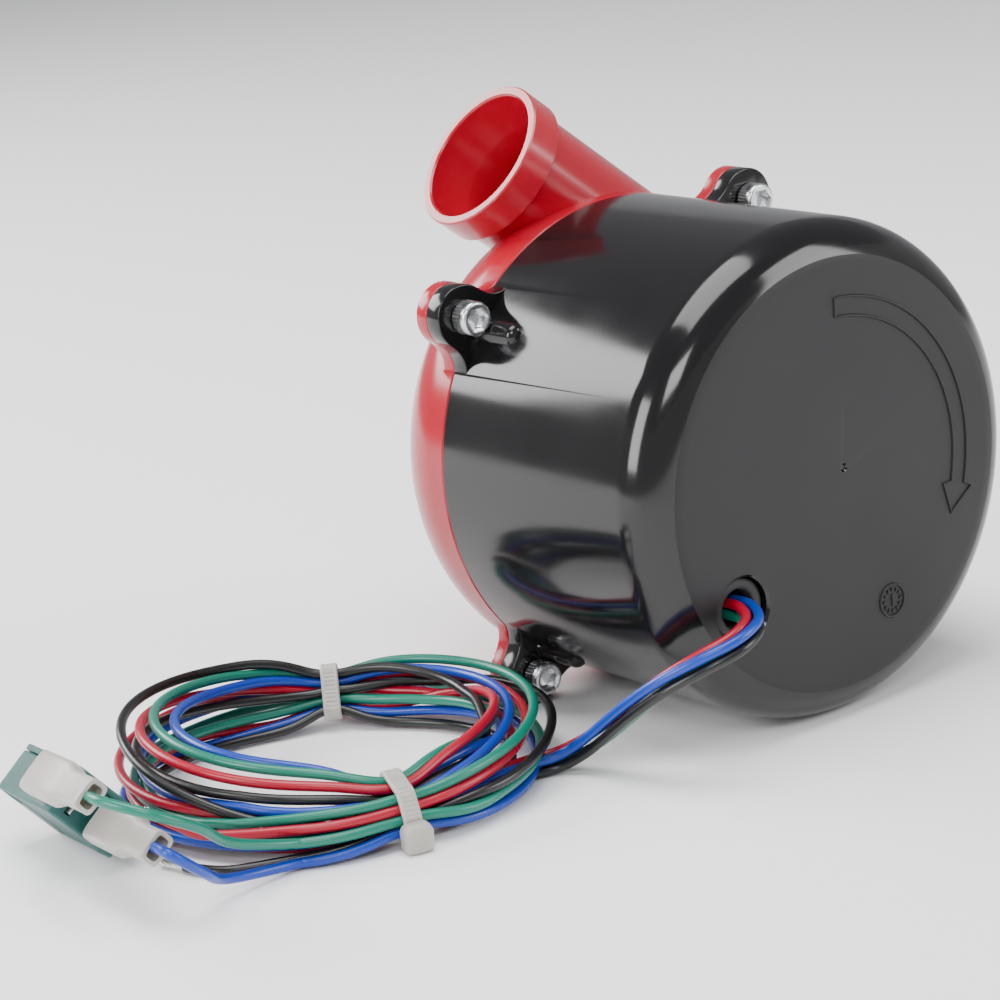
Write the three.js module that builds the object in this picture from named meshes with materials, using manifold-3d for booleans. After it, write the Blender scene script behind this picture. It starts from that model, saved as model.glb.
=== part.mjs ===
// Motor-driven turbo sound blower: a red volute cover with a tangential horn, a black can that holds
// the motor, and a four-wire harness that ends in a trigger microswitch. It lies on its side as stored.
// Inside the "blower" group the can's axis is Y, the horn end faces -Y and the closed back faces +Y.
import * as THREE from "three";
import { mergeVertices } from "three/addons/utils/BufferGeometryUtils.js";
import Module from "manifold-3d";

const wasm = await Module();
wasm.setup();

// ---- Driving dimensions, millimetres and degrees ----
const CLEARANCE = 0.3; // between neighbouring pieces
const WALL = 2.5; // moulded wall of can and cover
const CAN = { radius: 50, length: 62.4, backFillet: 9.2 };
const BAND = 4.2; // straight flange band of the cover, next to the seam
const DOME = { depth: 25.2, flatRadius: 16 }; // the cover's rounded front
const REBATE = { depth: 3, step: 0.8 }; // seat of the motor plate in the cover
const LUG = { circle: CAN.radius + 5.5, radius: 6.5, count: 4, first: 38.4, canThick: 4, coverThick: 3.3 };
const NUB = { radius: 2.55, reach: 15, circle: CAN.radius - 0.9 }; // moulded stop behind each screw
const SCREW = { shank: 2, headRadius: 3.5, headHeight: 4, socket: 2.4, socketDepth: 2.2, tail: 1 };
const NUT = { flats: 7, height: 3.2 };
const HORN_TUBE = 14.45; // outside radius of the horn, whose outer side is flush with the can
const HORN = {
  offset: CAN.radius - HORN_TUBE - CLEARANCE, angle: 39.4, tilt: 4, length: 53.1, throatY: -15.2,
  mouthRadius: 16.25, collar: 7.3, tubeRadius: HORN_TUBE, mouthBore: 14.1, bore: 12.2, boreCone: 9,
};
const INTAKE = { slots: 10, inner: 8, outer: 15, width: 2.8 };
const WIRE_HOLE = { circle: 34.4, angle: -35.2, radius: 6.5, grommetFlange: 1.2 };
const GROMMET_BORE = 3.9;
const PLATE = { thick: 2.4, bore: 3.2 };
const MOTOR = { radius: 17.9, wall: 1, length: 50, bushingRadius: 4, bushingLength: 4 };
const IMPELLER = {
  radius: 0.75 * CAN.radius, disc: 1.6, back: -5.4, bladeDepth: DOME.depth - 14.2, blades: 10,
  bladeThick: 1.6, hub: 5,
};
const SHAFT_TIP = 6; // shaft in front of the blades, for the nut
const SHAFT = {
  radius: 1.6, front: IMPELLER.back - IMPELLER.disc - IMPELLER.bladeDepth - SHAFT_TIP,
  back: MOTOR.length - 1.4,
};
const MOTOR_SCREW = { circle: 12.5, shank: 1.4, headRadius: 2.7, headHeight: 1.5, reach: 2.6 };
const MAGNET = { inner: 13, thick: 3.4, halfAngle: 55, from: 8, to: MOTOR.length - 10 };
const CORE = { radius: 12.4, shoe: 1.5, hub: 4, leg: 4, from: 11, to: MOTOR.length - 13, shoeHalfAngle: 50 };
const WINDING = { width: 10.6, from: 4.6, to: 9, over: 3.2 };
const COMMUTATOR = { radius: 4.2, from: MOTOR.length - 8.8, length: 4.6 };
const BRUSH = { length: 3.7, width: 3 };
const END_BELL = { thick: 3 };
const IMPELLER_NUT = { flats: 5.5, height: 2.4 };
const BOARD = { x: -24.6, thick: 1.6, halfWidth: 15, from: 8, to: CAN.length - 5.9 };
const RELAY = { height: 15, width: 15.5, length: 19, from: 14 };
const CAPACITOR = { radius: 5, length: 12, at: 43 };
const RAIL = { length: 12, thick: 2.2, reach: 3 };
const WIRE = { radius: 1, pitch: 2.35, colours: ["red", "black", "blue", "green"] };
const COIL = { x: CAN.radius + 37, y: 4, inner: 27, outer: 45, height: 13, lift: 1.6 };
const TIE = { width: 3.6, thick: 1.1, head: [6.2, 4.6, 6.6], angles: [234, 75] };
const SWITCH = {
  corner: [COIL.x + 60.4, COIL.y - 24.4], heading: 80.9, pitch: -6.8, roll: 40.4,
  length: 27.8, width: 10.3, height: 15.9, wall: 1.2, coverThick: 1.4, skin: 1,
};
const PLUNGER = { at: 7.7, radius: 1.5, width: 3, proud: 1.8, flange: 5 };
const TAB = { width: 4.75, thick: 0.6, reach: 7 };
const SLEEVE = { length: 27, mouth: [8.6, 4.4], wall: 0.7 };
const SPADE = { length: 8, width: 5.6, thick: 0.5 };
const BARE_END = { radius: 0.8 };
const BRUSH_POST = { thick: 2, width: 5 }; // of the end bell, behind each brush
const ROUND = 56; // facets round the can and the cover
const SMALL_ROUND = 20; // facets round a screw, a bush or a boss

const rad = THREE.MathUtils.degToRad;

// ---- Materials ----
const finish = (color, roughness, metalness = 0) =>
  new THREE.MeshStandardMaterial({ color, roughness, metalness });
const FINISH = {
  blackPlastic: finish(0x1b1b1d, 0.25), redPlastic: finish(0xd0141e, 0.25),
  zinc: finish(0xc9ccce, 0.3, 1), steel: finish(0x9a9da0, 0.35, 1), copper: finish(0xb5652b, 0.35, 1),
  brass: finish(0xc9a24a, 0.35, 1), magnet: finish(0x2c2b2b, 0.7), carbon: finish(0x232325, 0.8),
  greyPlastic: finish(0x55585c, 0.5), rubber: finish(0x151516, 0.7), board: finish(0x1d5a34, 0.5),
  relayBlue: finish(0x2a6fb5, 0.4), milky: finish(0xe4e2da, 0.4), teal: finish(0x2b7f74, 0.45),
  tinned: finish(0xb9b9b4, 0.35, 1),
  red: finish(0xc0142c, 0.35), black: finish(0x17171a, 0.35), blue: finish(0x1d4fb4, 0.35),
  green: finish(0x0f8468, 0.35), harness: finish(0x3a5a70, 0.4),
};

// ---- Geometry helpers ----
// A closed geometry as a manifold solid, for cutting and joining.
function solid(geometry) {
  const bare = geometry.index ? geometry.toNonIndexed() : geometry.clone();
  bare.deleteAttribute("normal");
  bare.deleteAttribute("uv");
  const merged = mergeVertices(bare, 1e-4);
  return new wasm.Manifold(new wasm.Mesh({
    numProp: 3,
    vertProperties: new Float32Array(merged.attributes.position.array),
    triVerts: new Uint32Array(merged.index.array),
  }));
}

// A manifold solid as a three.js geometry.
function geometryOf(body) {
  const mesh = body.getMesh();
  const geometry = new THREE.BufferGeometry();
  geometry.setAttribute("position", new THREE.BufferAttribute(new Float32Array(mesh.vertProperties), 3));
  geometry.setIndex(new THREE.BufferAttribute(new Uint32Array(mesh.triVerts), 1));
  geometry.computeVertexNormals();
  return geometry;
}

// The first geometry with others joined to it and others cut from it.
function shaped(base, { add = [], cut = [] }) {
  let body = solid(base);
  for (const geometry of add) body = body.add(solid(geometry));
  for (const geometry of cut) body = body.subtract(solid(geometry));
  return geometryOf(body);
}

// A turned body about Y from [radius, y] points, facing out whichever way the points run.
function turned(points, facets = SMALL_ROUND) {
  const outline = points.map(([r, y]) => new THREE.Vector2(r, y));
  if (THREE.ShapeUtils.area(outline) < 0) outline.reverse();
  const first = outline[0];
  const last = outline[outline.length - 1];
  if (first.x > 0 || last.x > 0) outline.push(first.clone());
  return new THREE.LatheGeometry(outline, facets);
}

const rod = (radius, from, to, facets = SMALL_ROUND) =>
  turned([[0, from], [radius, from], [radius, to], [0, to]], facets);
const ring = (inner, outer, from, to, facets = SMALL_ROUND) =>
  turned([[inner, from], [outer, from], [outer, to], [inner, to]], facets);

// Points of a quarter ellipse, from the first angle to the second, in degrees.
function arcPoints(centre, semi, from, to, steps) {
  return Array.from({ length: steps + 1 }, (_, i) => {
    const angle = rad(from + ((to - from) * i) / steps);
    return [centre[0] + semi[0] * Math.cos(angle), centre[1] + semi[1] * Math.sin(angle)];
  });
}

// A flat outline in X and Z raised along Y from one height to another.
function slab(shape, from, to, curveSegments = 8) {
  const settings = { depth: to - from, bevelEnabled: false, curveSegments };
  return new THREE.ExtrudeGeometry(shape, settings).rotateX(Math.PI / 2).translate(0, to, 0);
}

const box = (x, y, z, centre) => new THREE.BoxGeometry(x, y, z).translate(...centre);

function polygon(corners) {
  return new THREE.Shape(corners.map(([x, y]) => new THREE.Vector2(x, y)));
}

function hexagon(flats) {
  return polygon(Array.from({ length: 6 }, (_, i) => {
    const angle = rad(60 * i + 30);
    return [(flats / Math.sqrt(3)) * Math.cos(angle), (flats / Math.sqrt(3)) * Math.sin(angle)];
  }));
}

// A plain tube with eight sides along a smooth curve through the points.
function tube(points, radius, stride) {
  const curve = new THREE.CatmullRomCurve3(points.map((p) => new THREE.Vector3(...p)), false, "centripetal");
  const section = polygon(Array.from({ length: 8 }, (_, i) => {
    const angle = rad(45 * i);
    return [radius * Math.cos(angle), radius * Math.sin(angle)];
  }));
  const steps = Math.max(2, Math.round(curve.getLength() / stride));
  return new THREE.ExtrudeGeometry(section, { steps, extrudePath: curve, bevelEnabled: false });
}

const at = (geometry, circle, angle) =>
  geometry.translate(circle * Math.cos(rad(angle)), 0, circle * Math.sin(rad(angle)));

const root = new THREE.Group();
root.name = "turbo_sound_blower";

function place(parent, name, geometry, material) {
  const mesh = new THREE.Mesh(geometry, material);
  mesh.name = name;
  parent.add(mesh);
  return mesh;
}

// The origin is on the resting surface, under the middle of the blower's own box.
const coverFront = -(BAND + DOME.depth);
const hornFront = HORN.throatY - HORN.length * Math.sin(rad(HORN.tilt)) -
  HORN.mouthRadius * Math.cos(rad(HORN.tilt));
const blower = new THREE.Group();
blower.position.set(0, -(CAN.length + Math.min(coverFront, hornFront)) / 2, CAN.radius);
root.add(blower);

// ---- Lugs, shared by can and cover ----
const lugAngles = Array.from({ length: LUG.count }, (_, i) => LUG.first + (360 / LUG.count) * i);

// One ear with a neck that blends into the rim, then turned to its place.
function ear(angle, from, to) {
  const root0 = CAN.radius - WALL / 2;
  const foot = LUG.radius * 1.6;
  const shape = new THREE.Shape();
  shape.moveTo(root0, -foot);
  shape.quadraticCurveTo(CAN.radius + 0.4, -LUG.radius, LUG.circle, -LUG.radius);
  shape.absarc(LUG.circle, 0, LUG.radius, -Math.PI / 2, Math.PI / 2, false);
  shape.quadraticCurveTo(CAN.radius + 0.4, LUG.radius, root0, foot);
  shape.closePath();
  return slab(shape, from, to, 9).rotateY(-rad(angle));
}

const lugHoles = () => lugAngles.map((angle) => at(
  rod(SCREW.shank + CLEARANCE, -LUG.coverThick - 1, LUG.canThick + 1, 14), LUG.circle, angle));

// ---- Black can ----
function makeCan() {
  const { radius, length, backFillet } = CAN;
  const shell = turned([
    [radius - WALL, 0], [radius, 0],
    ...arcPoints([radius - backFillet, length - backFillet], [backFillet, backFillet], 0, 90, 5),
    [0, length], [0, length - WALL],
    ...arcPoints([radius - backFillet, length - backFillet],
      [backFillet - WALL, backFillet - WALL], 90, 0, 3),
  ], ROUND);
  const rails = [-1, 1].flatMap((side) => [-1, 1].map((face) => {
    const gap = BOARD.thick / 2 + CLEARANCE + RAIL.thick / 2;
    const middle = length - WALL - RAIL.length / 2 + 0.5;
    return box(RAIL.thick, RAIL.length + 1, RAIL.reach,
      [BOARD.x + face * gap, middle, side * (BOARD.halfWidth - RAIL.reach / 2)]);
  }));
  const nubs = lugAngles.map((angle) => at(rod(NUB.radius, 2, NUB.reach, 14), NUB.circle, angle));
  const inside = rod(radius - WALL - 0.02, -1, NUB.reach + 1, ROUND);
  const outside = shaped(ear(lugAngles[0], 0, LUG.canThick), {
    add: [...lugAngles.slice(1).map((angle) => ear(angle, 0, LUG.canThick)), ...nubs],
    cut: [inside],
  });
  return shaped(shell, {
    add: [outside, ...rails],
    cut: [...lugHoles(), at(rod(WIRE_HOLE.radius, length - 6, length + 2), WIRE_HOLE.circle, WIRE_HOLE.angle)],
  });
}

// ---- Red volute cover with its tangential horn, moulded in one ----
// A body turned about Y is laid along the horn's axis: its y = 0 at the throat, +y towards the mouth.
function alongHorn(geometry) {
  const { offset, angle, tilt, throatY } = HORN;
  return geometry.rotateZ(-Math.PI / 2).rotateZ(-rad(tilt)).rotateY(-rad(angle))
    .translate(-offset * Math.sin(rad(angle)), throatY, offset * Math.cos(rad(angle)));
}

function makeCover() {
  const { radius } = CAN;
  const { flatRadius, depth } = DOME;
  const outer = turned([
    [0, 0], [radius, 0],
    ...arcPoints([flatRadius, -BAND], [radius - flatRadius, depth], 0, -90, 9),
    [0, coverFront],
  ], ROUND);
  const chamber = turned([
    [0, 1], [radius - WALL + REBATE.step, 1], [radius - WALL + REBATE.step, -REBATE.depth],
    [radius - WALL, -REBATE.depth],
    ...arcPoints([flatRadius, -BAND], [radius - WALL - flatRadius, depth - WALL], 0, -90, 7),
    [0, coverFront + WALL],
  ], ROUND);
  const { length, mouthRadius, collar, tubeRadius, mouthBore, bore, boreCone } = HORN;
  const horn = alongHorn(turned([
    ...arcPoints([0, 0], [tubeRadius, tubeRadius], -90, 0, 6),
    [tubeRadius + 0.2, length - collar], [mouthRadius, length - collar], [mouthRadius, length], [0, length],
  ], 36));
  const duct = alongHorn(turned([
    ...arcPoints([0, 0], [bore, bore], -90, 0, 5),
    [bore, length - boreCone], [mouthBore, length], [mouthBore, length + 2], [0, length + 2],
  ], 36));
  const slots = Array.from({ length: INTAKE.slots }, (_, i) =>
    box(INTAKE.outer - INTAKE.inner, 3 * WALL, INTAKE.width,
      [(INTAKE.outer + INTAKE.inner) / 2, coverFront, 0]).rotateY(rad((360 / INTAKE.slots) * i)));
  return shaped(outer, {
    add: [...lugAngles.map((angle) => ear(angle, -LUG.coverThick, 0)), horn],
    cut: [chamber, duct, ...slots, ...lugHoles()],
  });
}

place(blower, "rear_motor_can", makeCan(), FINISH.blackPlastic);
place(blower, "front_volute_cover", makeCover(), FINISH.redPlastic);

// ---- Case screws and nuts ----
const shankEnd = -(LUG.coverThick + CLEARANCE + NUT.height + SCREW.tail);
lugAngles.forEach((angle, i) => {
  const seat = LUG.canThick + CLEARANCE;
  const screw = shaped(
    turned([[0, shankEnd], [SCREW.shank, shankEnd], [SCREW.shank, seat], [SCREW.headRadius, seat],
      [SCREW.headRadius, seat + SCREW.headHeight - 0.4],
      [SCREW.headRadius - 0.4, seat + SCREW.headHeight], [0, seat + SCREW.headHeight]]),
    { cut: [slab(hexagon(2 * SCREW.socket * 0.87),
      seat + SCREW.headHeight - SCREW.socketDepth, seat + SCREW.headHeight + 1)] });
  place(blower, `case_screw_${i + 1}`, at(screw, LUG.circle, angle), FINISH.zinc);
  const nutTop = -(LUG.coverThick + CLEARANCE);
  const nut = shaped(slab(hexagon(NUT.flats), nutTop - NUT.height, nutTop),
    { cut: [rod(SCREW.shank + CLEARANCE, nutTop - NUT.height - 1, nutTop + 1, 14)] });
  place(blower, `case_nut_${i + 1}`, at(nut, LUG.circle, angle), FINISH.zinc);
});

// ---- Motor plate, motor and its screws ----
const plateFront = -(CLEARANCE + PLATE.thick);
const plateBack = -CLEARANCE;
const motorScrewAngles = [90, 270];
place(blower, "motor_plate", shaped(
  ring(PLATE.bore, CAN.radius - WALL + REBATE.step - CLEARANCE, plateFront, plateBack, ROUND),
  { cut: motorScrewAngles.map((angle) =>
    at(rod(MOTOR_SCREW.shank + CLEARANCE, plateFront - 1, 1, 12), MOTOR_SCREW.circle, angle)) },
), FINISH.steel);

const caseInner = MOTOR.radius - MOTOR.wall;
place(blower, "motor_case", shaped(
  turned([[MOTOR.bushingRadius + CLEARANCE, 0], [MOTOR.radius, 0], [MOTOR.radius, MOTOR.length],
    [caseInner, MOTOR.length], [caseInner, MOTOR.wall], [MOTOR.bushingRadius + CLEARANCE, MOTOR.wall]], 32),
  { cut: motorScrewAngles.map((angle) =>
    at(rod(MOTOR_SCREW.shank + CLEARANCE, -1, MOTOR.wall + 1, 12), MOTOR_SCREW.circle, angle)) },
), FINISH.steel);

motorScrewAngles.forEach((angle, i) => {
  const seat = plateFront - CLEARANCE;
  const screw = turned([[0, MOTOR_SCREW.reach], [MOTOR_SCREW.shank, MOTOR_SCREW.reach],
    [MOTOR_SCREW.shank, seat], [MOTOR_SCREW.headRadius, seat],
    [MOTOR_SCREW.headRadius - 0.6, seat - MOTOR_SCREW.headHeight], [0, seat - MOTOR_SCREW.headHeight]], 12);
  place(blower, `motor_screw_${i + 1}`, at(screw, MOTOR_SCREW.circle, angle), FINISH.zinc);
});

// An arc-shaped bar along Y, centred on the given angle.
function arcBar(inner, outer, halfAngle, centre, from, to) {
  const shape = new THREE.Shape();
  shape.absarc(0, 0, outer, rad(centre - halfAngle), rad(centre + halfAngle), false);
  shape.absarc(0, 0, inner, rad(centre + halfAngle), rad(centre - halfAngle), true);
  shape.closePath();
  return slab(shape, from, to, 7);
}

["left", "right"].forEach((side, i) => place(blower, `magnet_${side}`,
  arcBar(MAGNET.inner, MAGNET.inner + MAGNET.thick, MAGNET.halfAngle, 180 * (1 - i), MAGNET.from, MAGNET.to),
  FINISH.magnet));

const shaftBore = SHAFT.radius + CLEARANCE;
place(blower, "front_bushing", ring(shaftBore, MOTOR.bushingRadius, 0, MOTOR.bushingLength), FINISH.brass);
const bellFrom = MOTOR.length - END_BELL.thick;
const bushingSeat = MOTOR.bushingRadius + CLEARANCE;
const postInner = COMMUTATOR.radius + BRUSH.length + 2 * CLEARANCE;
place(blower, "motor_end_bell", shaped(
  ring(bushingSeat, caseInner - CLEARANCE, bellFrom, MOTOR.length, 32),
  { add: [-1, 1].map((side) => box(BRUSH_POST.thick, bellFrom - COMMUTATOR.from + 0.5, BRUSH_POST.width,
    [side * (postInner + BRUSH_POST.thick / 2), (bellFrom + COMMUTATOR.from + 0.5) / 2, 0])) },
), FINISH.greyPlastic);
place(blower, "rear_bushing", ring(shaftBore, MOTOR.bushingRadius, bellFrom, MOTOR.length), FINISH.brass);
["left", "right"].forEach((side, i) => place(blower, `brush_${side}`,
  box(BRUSH.length, BRUSH.width, BRUSH.width,
    [(2 * i - 1) * (COMMUTATOR.radius + CLEARANCE + BRUSH.length / 2),
      COMMUTATOR.from + COMMUTATOR.length / 2, 0]), FINISH.carbon));

// ---- Rotor: shaft, armature, commutator, impeller and its nut ----
place(blower, "rotor_shaft", rod(SHAFT.radius, SHAFT.front, SHAFT.back), FINISH.steel);
const poleAngles = [90, 210, 330];
place(blower, "armature_core", shaped(ring(shaftBore, CORE.hub, CORE.from, CORE.to), {
  add: poleAngles.flatMap((angle) => [
    box(CORE.radius - CORE.hub, CORE.to - CORE.from, CORE.leg,
      [(CORE.radius + CORE.hub) / 2 - 0.6, (CORE.from + CORE.to) / 2, 0]).rotateY(-rad(angle)),
    arcBar(CORE.radius - CORE.shoe, CORE.radius, CORE.shoeHalfAngle, angle, CORE.from, CORE.to),
  ]),
}), FINISH.steel);
poleAngles.forEach((angle, i) => {
  const coreLength = CORE.to - CORE.from;
  const middle = (CORE.from + CORE.to) / 2;
  const depth = WINDING.to - WINDING.from;
  const winding = shaped(
    box(depth, coreLength + 2 * WINDING.over, WINDING.width, [WINDING.from + depth / 2, middle, 0]),
    { cut: [box(depth + 2, coreLength + 2 * CLEARANCE, CORE.leg + 2 * CLEARANCE,
      [WINDING.from + depth / 2, middle, 0])] });
  place(blower, `armature_winding_${i + 1}`, winding.rotateY(-rad(angle)), FINISH.copper);
});
place(blower, "commutator", shaped(
  ring(shaftBore, COMMUTATOR.radius, COMMUTATOR.from, COMMUTATOR.from + COMMUTATOR.length, 24),
  { cut: poleAngles.map((angle) => box(1, COMMUTATOR.length + 1, 0.5,
    [COMMUTATOR.radius, COMMUTATOR.from + COMMUTATOR.length / 2, 0]).rotateY(-rad(angle))) },
), FINISH.copper);
const discFront = IMPELLER.back - IMPELLER.disc;
const bladeEnd = discFront - IMPELLER.bladeDepth;
place(blower, "impeller", shaped(ring(shaftBore, IMPELLER.radius, discFront, IMPELLER.back, 40), {
  add: [
    ring(shaftBore, IMPELLER.hub, bladeEnd, IMPELLER.back),
    ...Array.from({ length: IMPELLER.blades }, (_, i) =>
      box(IMPELLER.radius - IMPELLER.hub + 0.5, IMPELLER.bladeDepth + 0.5, IMPELLER.bladeThick,
        [(IMPELLER.radius + IMPELLER.hub - 0.7) / 2, (bladeEnd + discFront + 0.5) / 2, 0])
        .rotateY(rad((360 / IMPELLER.blades) * i))),
  ],
}), FINISH.greyPlastic);
const nutBack = bladeEnd - CLEARANCE;
place(blower, "impeller_nut", shaped(
  slab(hexagon(IMPELLER_NUT.flats), nutBack - IMPELLER_NUT.height, nutBack),
  { cut: [rod(shaftBore, nutBack - IMPELLER_NUT.height - 1, nutBack + 1, 14)] }), FINISH.zinc);

// ---- Control board on its rails beside the motor ----
place(blower, "control_board", box(BOARD.thick, BOARD.to - BOARD.from, 2 * (BOARD.halfWidth - CLEARANCE),
  [BOARD.x, (BOARD.from + BOARD.to) / 2, 0]), FINISH.board);
const boardFace = BOARD.x - BOARD.thick / 2 - CLEARANCE;
place(blower, "board_relay", box(RELAY.height, RELAY.length, RELAY.width,
  [boardFace - RELAY.height / 2, RELAY.from + RELAY.length / 2, 0]), FINISH.relayBlue);
place(blower, "board_capacitor", rod(CAPACITOR.radius, 0, CAPACITOR.length)
  .rotateZ(Math.PI / 2).translate(boardFace, CAPACITOR.at - CAPACITOR.radius, 0), FINISH.carbon);

// ---- Wire grommet in the back ----
const holeCentre = [WIRE_HOLE.circle * Math.cos(rad(WIRE_HOLE.angle)),
  WIRE_HOLE.circle * Math.sin(rad(WIRE_HOLE.angle))];
const grommetOuter = WIRE_HOLE.radius - CLEARANCE;
place(blower, "wire_grommet", at(turned([
  [GROMMET_BORE, CAN.length - WALL - 2], [grommetOuter - 1, CAN.length - WALL - 2],
  [grommetOuter, CAN.length - WALL], [grommetOuter, CAN.length - WIRE_HOLE.grommetFlange],
  [GROMMET_BORE, CAN.length - WIRE_HOLE.grommetFlange],
]), WIRE_HOLE.circle, WIRE_HOLE.angle), FINISH.rubber);

// ---- Wire harness ----
// The four wires run side by side along one route: each is shifted across and up from the middle line.
const tangentAt = (route, i) => new THREE.Vector3(...route[Math.min(i + 1, route.length - 1)])
  .sub(new THREE.Vector3(...route[Math.max(i - 1, 0)])).normalize();

function shifted(route, across, up) {
  return route.map((point, i) => {
    const along = tangentAt(route, i);
    const side = new THREE.Vector3().crossVectors(along, new THREE.Vector3(0, 0, 1)).normalize();
    const lift = new THREE.Vector3().crossVectors(side, along);
    return new THREE.Vector3(...point).addScaledVector(side, across).addScaledVector(lift, up).toArray();
  });
}

const ground = -CAN.radius;
// From inside the grommet, out and down to the coil on the surface.
const back = CAN.length;
const leadRoute = [
  [holeCentre[0], back - 5.4, holeCentre[1]], [holeCentre[0] + 0.2, back + 0.6, holeCentre[1]],
  [31.2, back + 5.8, -20.6], [37.2, back + 7.6, -22.2], [43.8, back + 5.2, -24.6], [48.6, back - 0.4, -28.6],
  [50.6, 55.4, -33.6], [51.4, 49.6, -38.2], [52, 45.6, -41.4],
];
const lay = { red: [0.5, 0.5], blue: [-0.5, 0.5], black: [-0.5, -0.5], green: [0.5, -0.5] };
for (const colour of WIRE.colours) {
  const [across, up] = lay[colour].map((share) => share * WIRE.pitch);
  place(blower, `lead_${colour}`, tube(shifted(leadRoute, across, up), WIRE.radius, 4.5), FINISH[colour]);
}

const coilBottom = ground + COIL.lift;
const coilTop = coilBottom + COIL.height;
place(blower, "wire_coil", turned([
  [COIL.inner + 3, coilBottom], [COIL.outer - 3, coilBottom], [COIL.outer, coilBottom + 3],
  [COIL.outer, coilTop - 3], [COIL.outer - 3, coilTop], [COIL.inner + 3, coilTop],
  [COIL.inner, coilTop - 3], [COIL.inner, coilBottom + 3],
], 32).rotateX(Math.PI / 2).translate(COIL.x, COIL.y, 0), FINISH.harness);

// A tie is a flat band closed round the coil's section, with its lock on the outside.
TIE.angles.forEach((angle, i) => {
  const inner = [COIL.inner - CLEARANCE, COIL.outer + CLEARANCE];
  const heights = [coilBottom - CLEARANCE, coilTop + CLEARANCE];
  const band = (grow) => polygon([
    [inner[0] - grow, heights[0] - grow], [inner[1] + grow, heights[0] - grow],
    [inner[1] + grow, heights[1] + grow], [inner[0] - grow, heights[1] + grow]]);
  const tie = shaped(slab(band(TIE.thick), -TIE.width / 2, TIE.width / 2), {
    add: [box(...TIE.head, [inner[1] + TIE.head[0] / 2, 0, heights[0] - TIE.thick + TIE.head[2] / 2 + 0.2])],
    cut: [slab(band(0), -TIE.width, TIE.width)],
  });
  const mesh = place(blower, `cable_tie_${i + 1}`, tie, FINISH.milky);
  mesh.rotation.z = rad(angle);
  mesh.position.set(COIL.x, COIL.y, 0);
});

// ---- Trigger microswitch ----
// Local axes: x along the body, y across its width, z out of the terminal face; the plunger is on -z.
const microswitch = new THREE.Group();
microswitch.rotation.set(rad(SWITCH.roll), rad(SWITCH.pitch), rad(SWITCH.heading), "ZYX");
microswitch.updateMatrix();
const turn = microswitch.matrix.clone();
const bodyCorners = [0, SWITCH.length].flatMap((x) => [0, SWITCH.width].flatMap((y) =>
  [-SWITCH.height, 0].map((z) => new THREE.Vector3(x, y, z).applyMatrix4(turn))));
const lowest = Math.min(...bodyCorners.map((corner) => corner.z));
microswitch.position.set(...SWITCH.corner, ground + 0.05 - lowest);
blower.add(microswitch);

const coverSide = SWITCH.width - SWITCH.coverThick;
const tabs = [
  { name: "common", x: 20, z: 3.6, y: 5.15 },
  { name: "normally_open", x: SWITCH.length, z: -9.1, y: 4.3 },
  { name: "normally_closed", x: SWITCH.length, z: -3.4, y: 4.3, reach: 1.2 },
];
// A terminal strip: out of the end, straight along x; or up out of the terminal face and over along x.
function tabGeometry({ x, z, y, reach = TAB.reach }) {
  const inside = SWITCH.wall + 2;
  if (z < 0) return box(reach + inside, TAB.width, TAB.thick, [x + (reach - inside) / 2, y, z]);
  const stem = z + TAB.thick / 2 + inside;
  return shaped(box(TAB.thick, TAB.width, stem, [x, y, stem / 2 - inside]),
    { add: [box(reach, TAB.width, TAB.thick, [x + reach / 2 - 0.1, y, z])] });
}
const slotSize = [TAB.thick + 2 * CLEARANCE, TAB.width + 2 * CLEARANCE];
const tabSlots = tabs.map(({ x, z, y }) => (z < 0
  ? box(6, slotSize[1], slotSize[0], [x, y, z]) : box(slotSize[0], slotSize[1], 6, [x, y, -1])));
const plungerHole = box(2 * (PLUNGER.radius + CLEARANCE), PLUNGER.width + 2 * CLEARANCE, 6,
  [PLUNGER.at, SWITCH.width / 2, -SWITCH.height]);
const cavity = box(SWITCH.length - 2 * SWITCH.wall, SWITCH.width, SWITCH.height - 2 * SWITCH.wall,
  [SWITCH.length / 2, SWITCH.width / 2 + SWITCH.skin, -SWITCH.height / 2]);
place(microswitch, "switch_body", shaped(
  box(SWITCH.length, coverSide - CLEARANCE, SWITCH.height,
    [SWITCH.length / 2, (coverSide - CLEARANCE) / 2, -SWITCH.height / 2]),
  { cut: [cavity, plungerHole, ...tabSlots] }), FINISH.teal);
place(microswitch, "switch_cover", shaped(
  box(SWITCH.length, SWITCH.coverThick, SWITCH.height,
    [SWITCH.length / 2, SWITCH.width - SWITCH.coverThick / 2, -SWITCH.height / 2]),
  { cut: tabSlots }), FINISH.teal);
for (const tab of tabs) place(microswitch, `tab_${tab.name}`, tabGeometry(tab), FINISH.tinned);
const innerFloor = -SWITCH.height + SWITCH.wall + CLEARANCE;
const plungerLow = -SWITCH.height - PLUNGER.proud;
place(microswitch, "switch_plunger", shaped(
  box(2 * PLUNGER.radius, PLUNGER.width, innerFloor + 0.5 - plungerLow,
    [PLUNGER.at, SWITCH.width / 2, (innerFloor + 0.5 + plungerLow) / 2]),
  { add: [box(PLUNGER.flange, PLUNGER.width, 1, [PLUNGER.at, SWITCH.width / 2, innerFloor + 0.5])] },
), FINISH.rubber);

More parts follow.
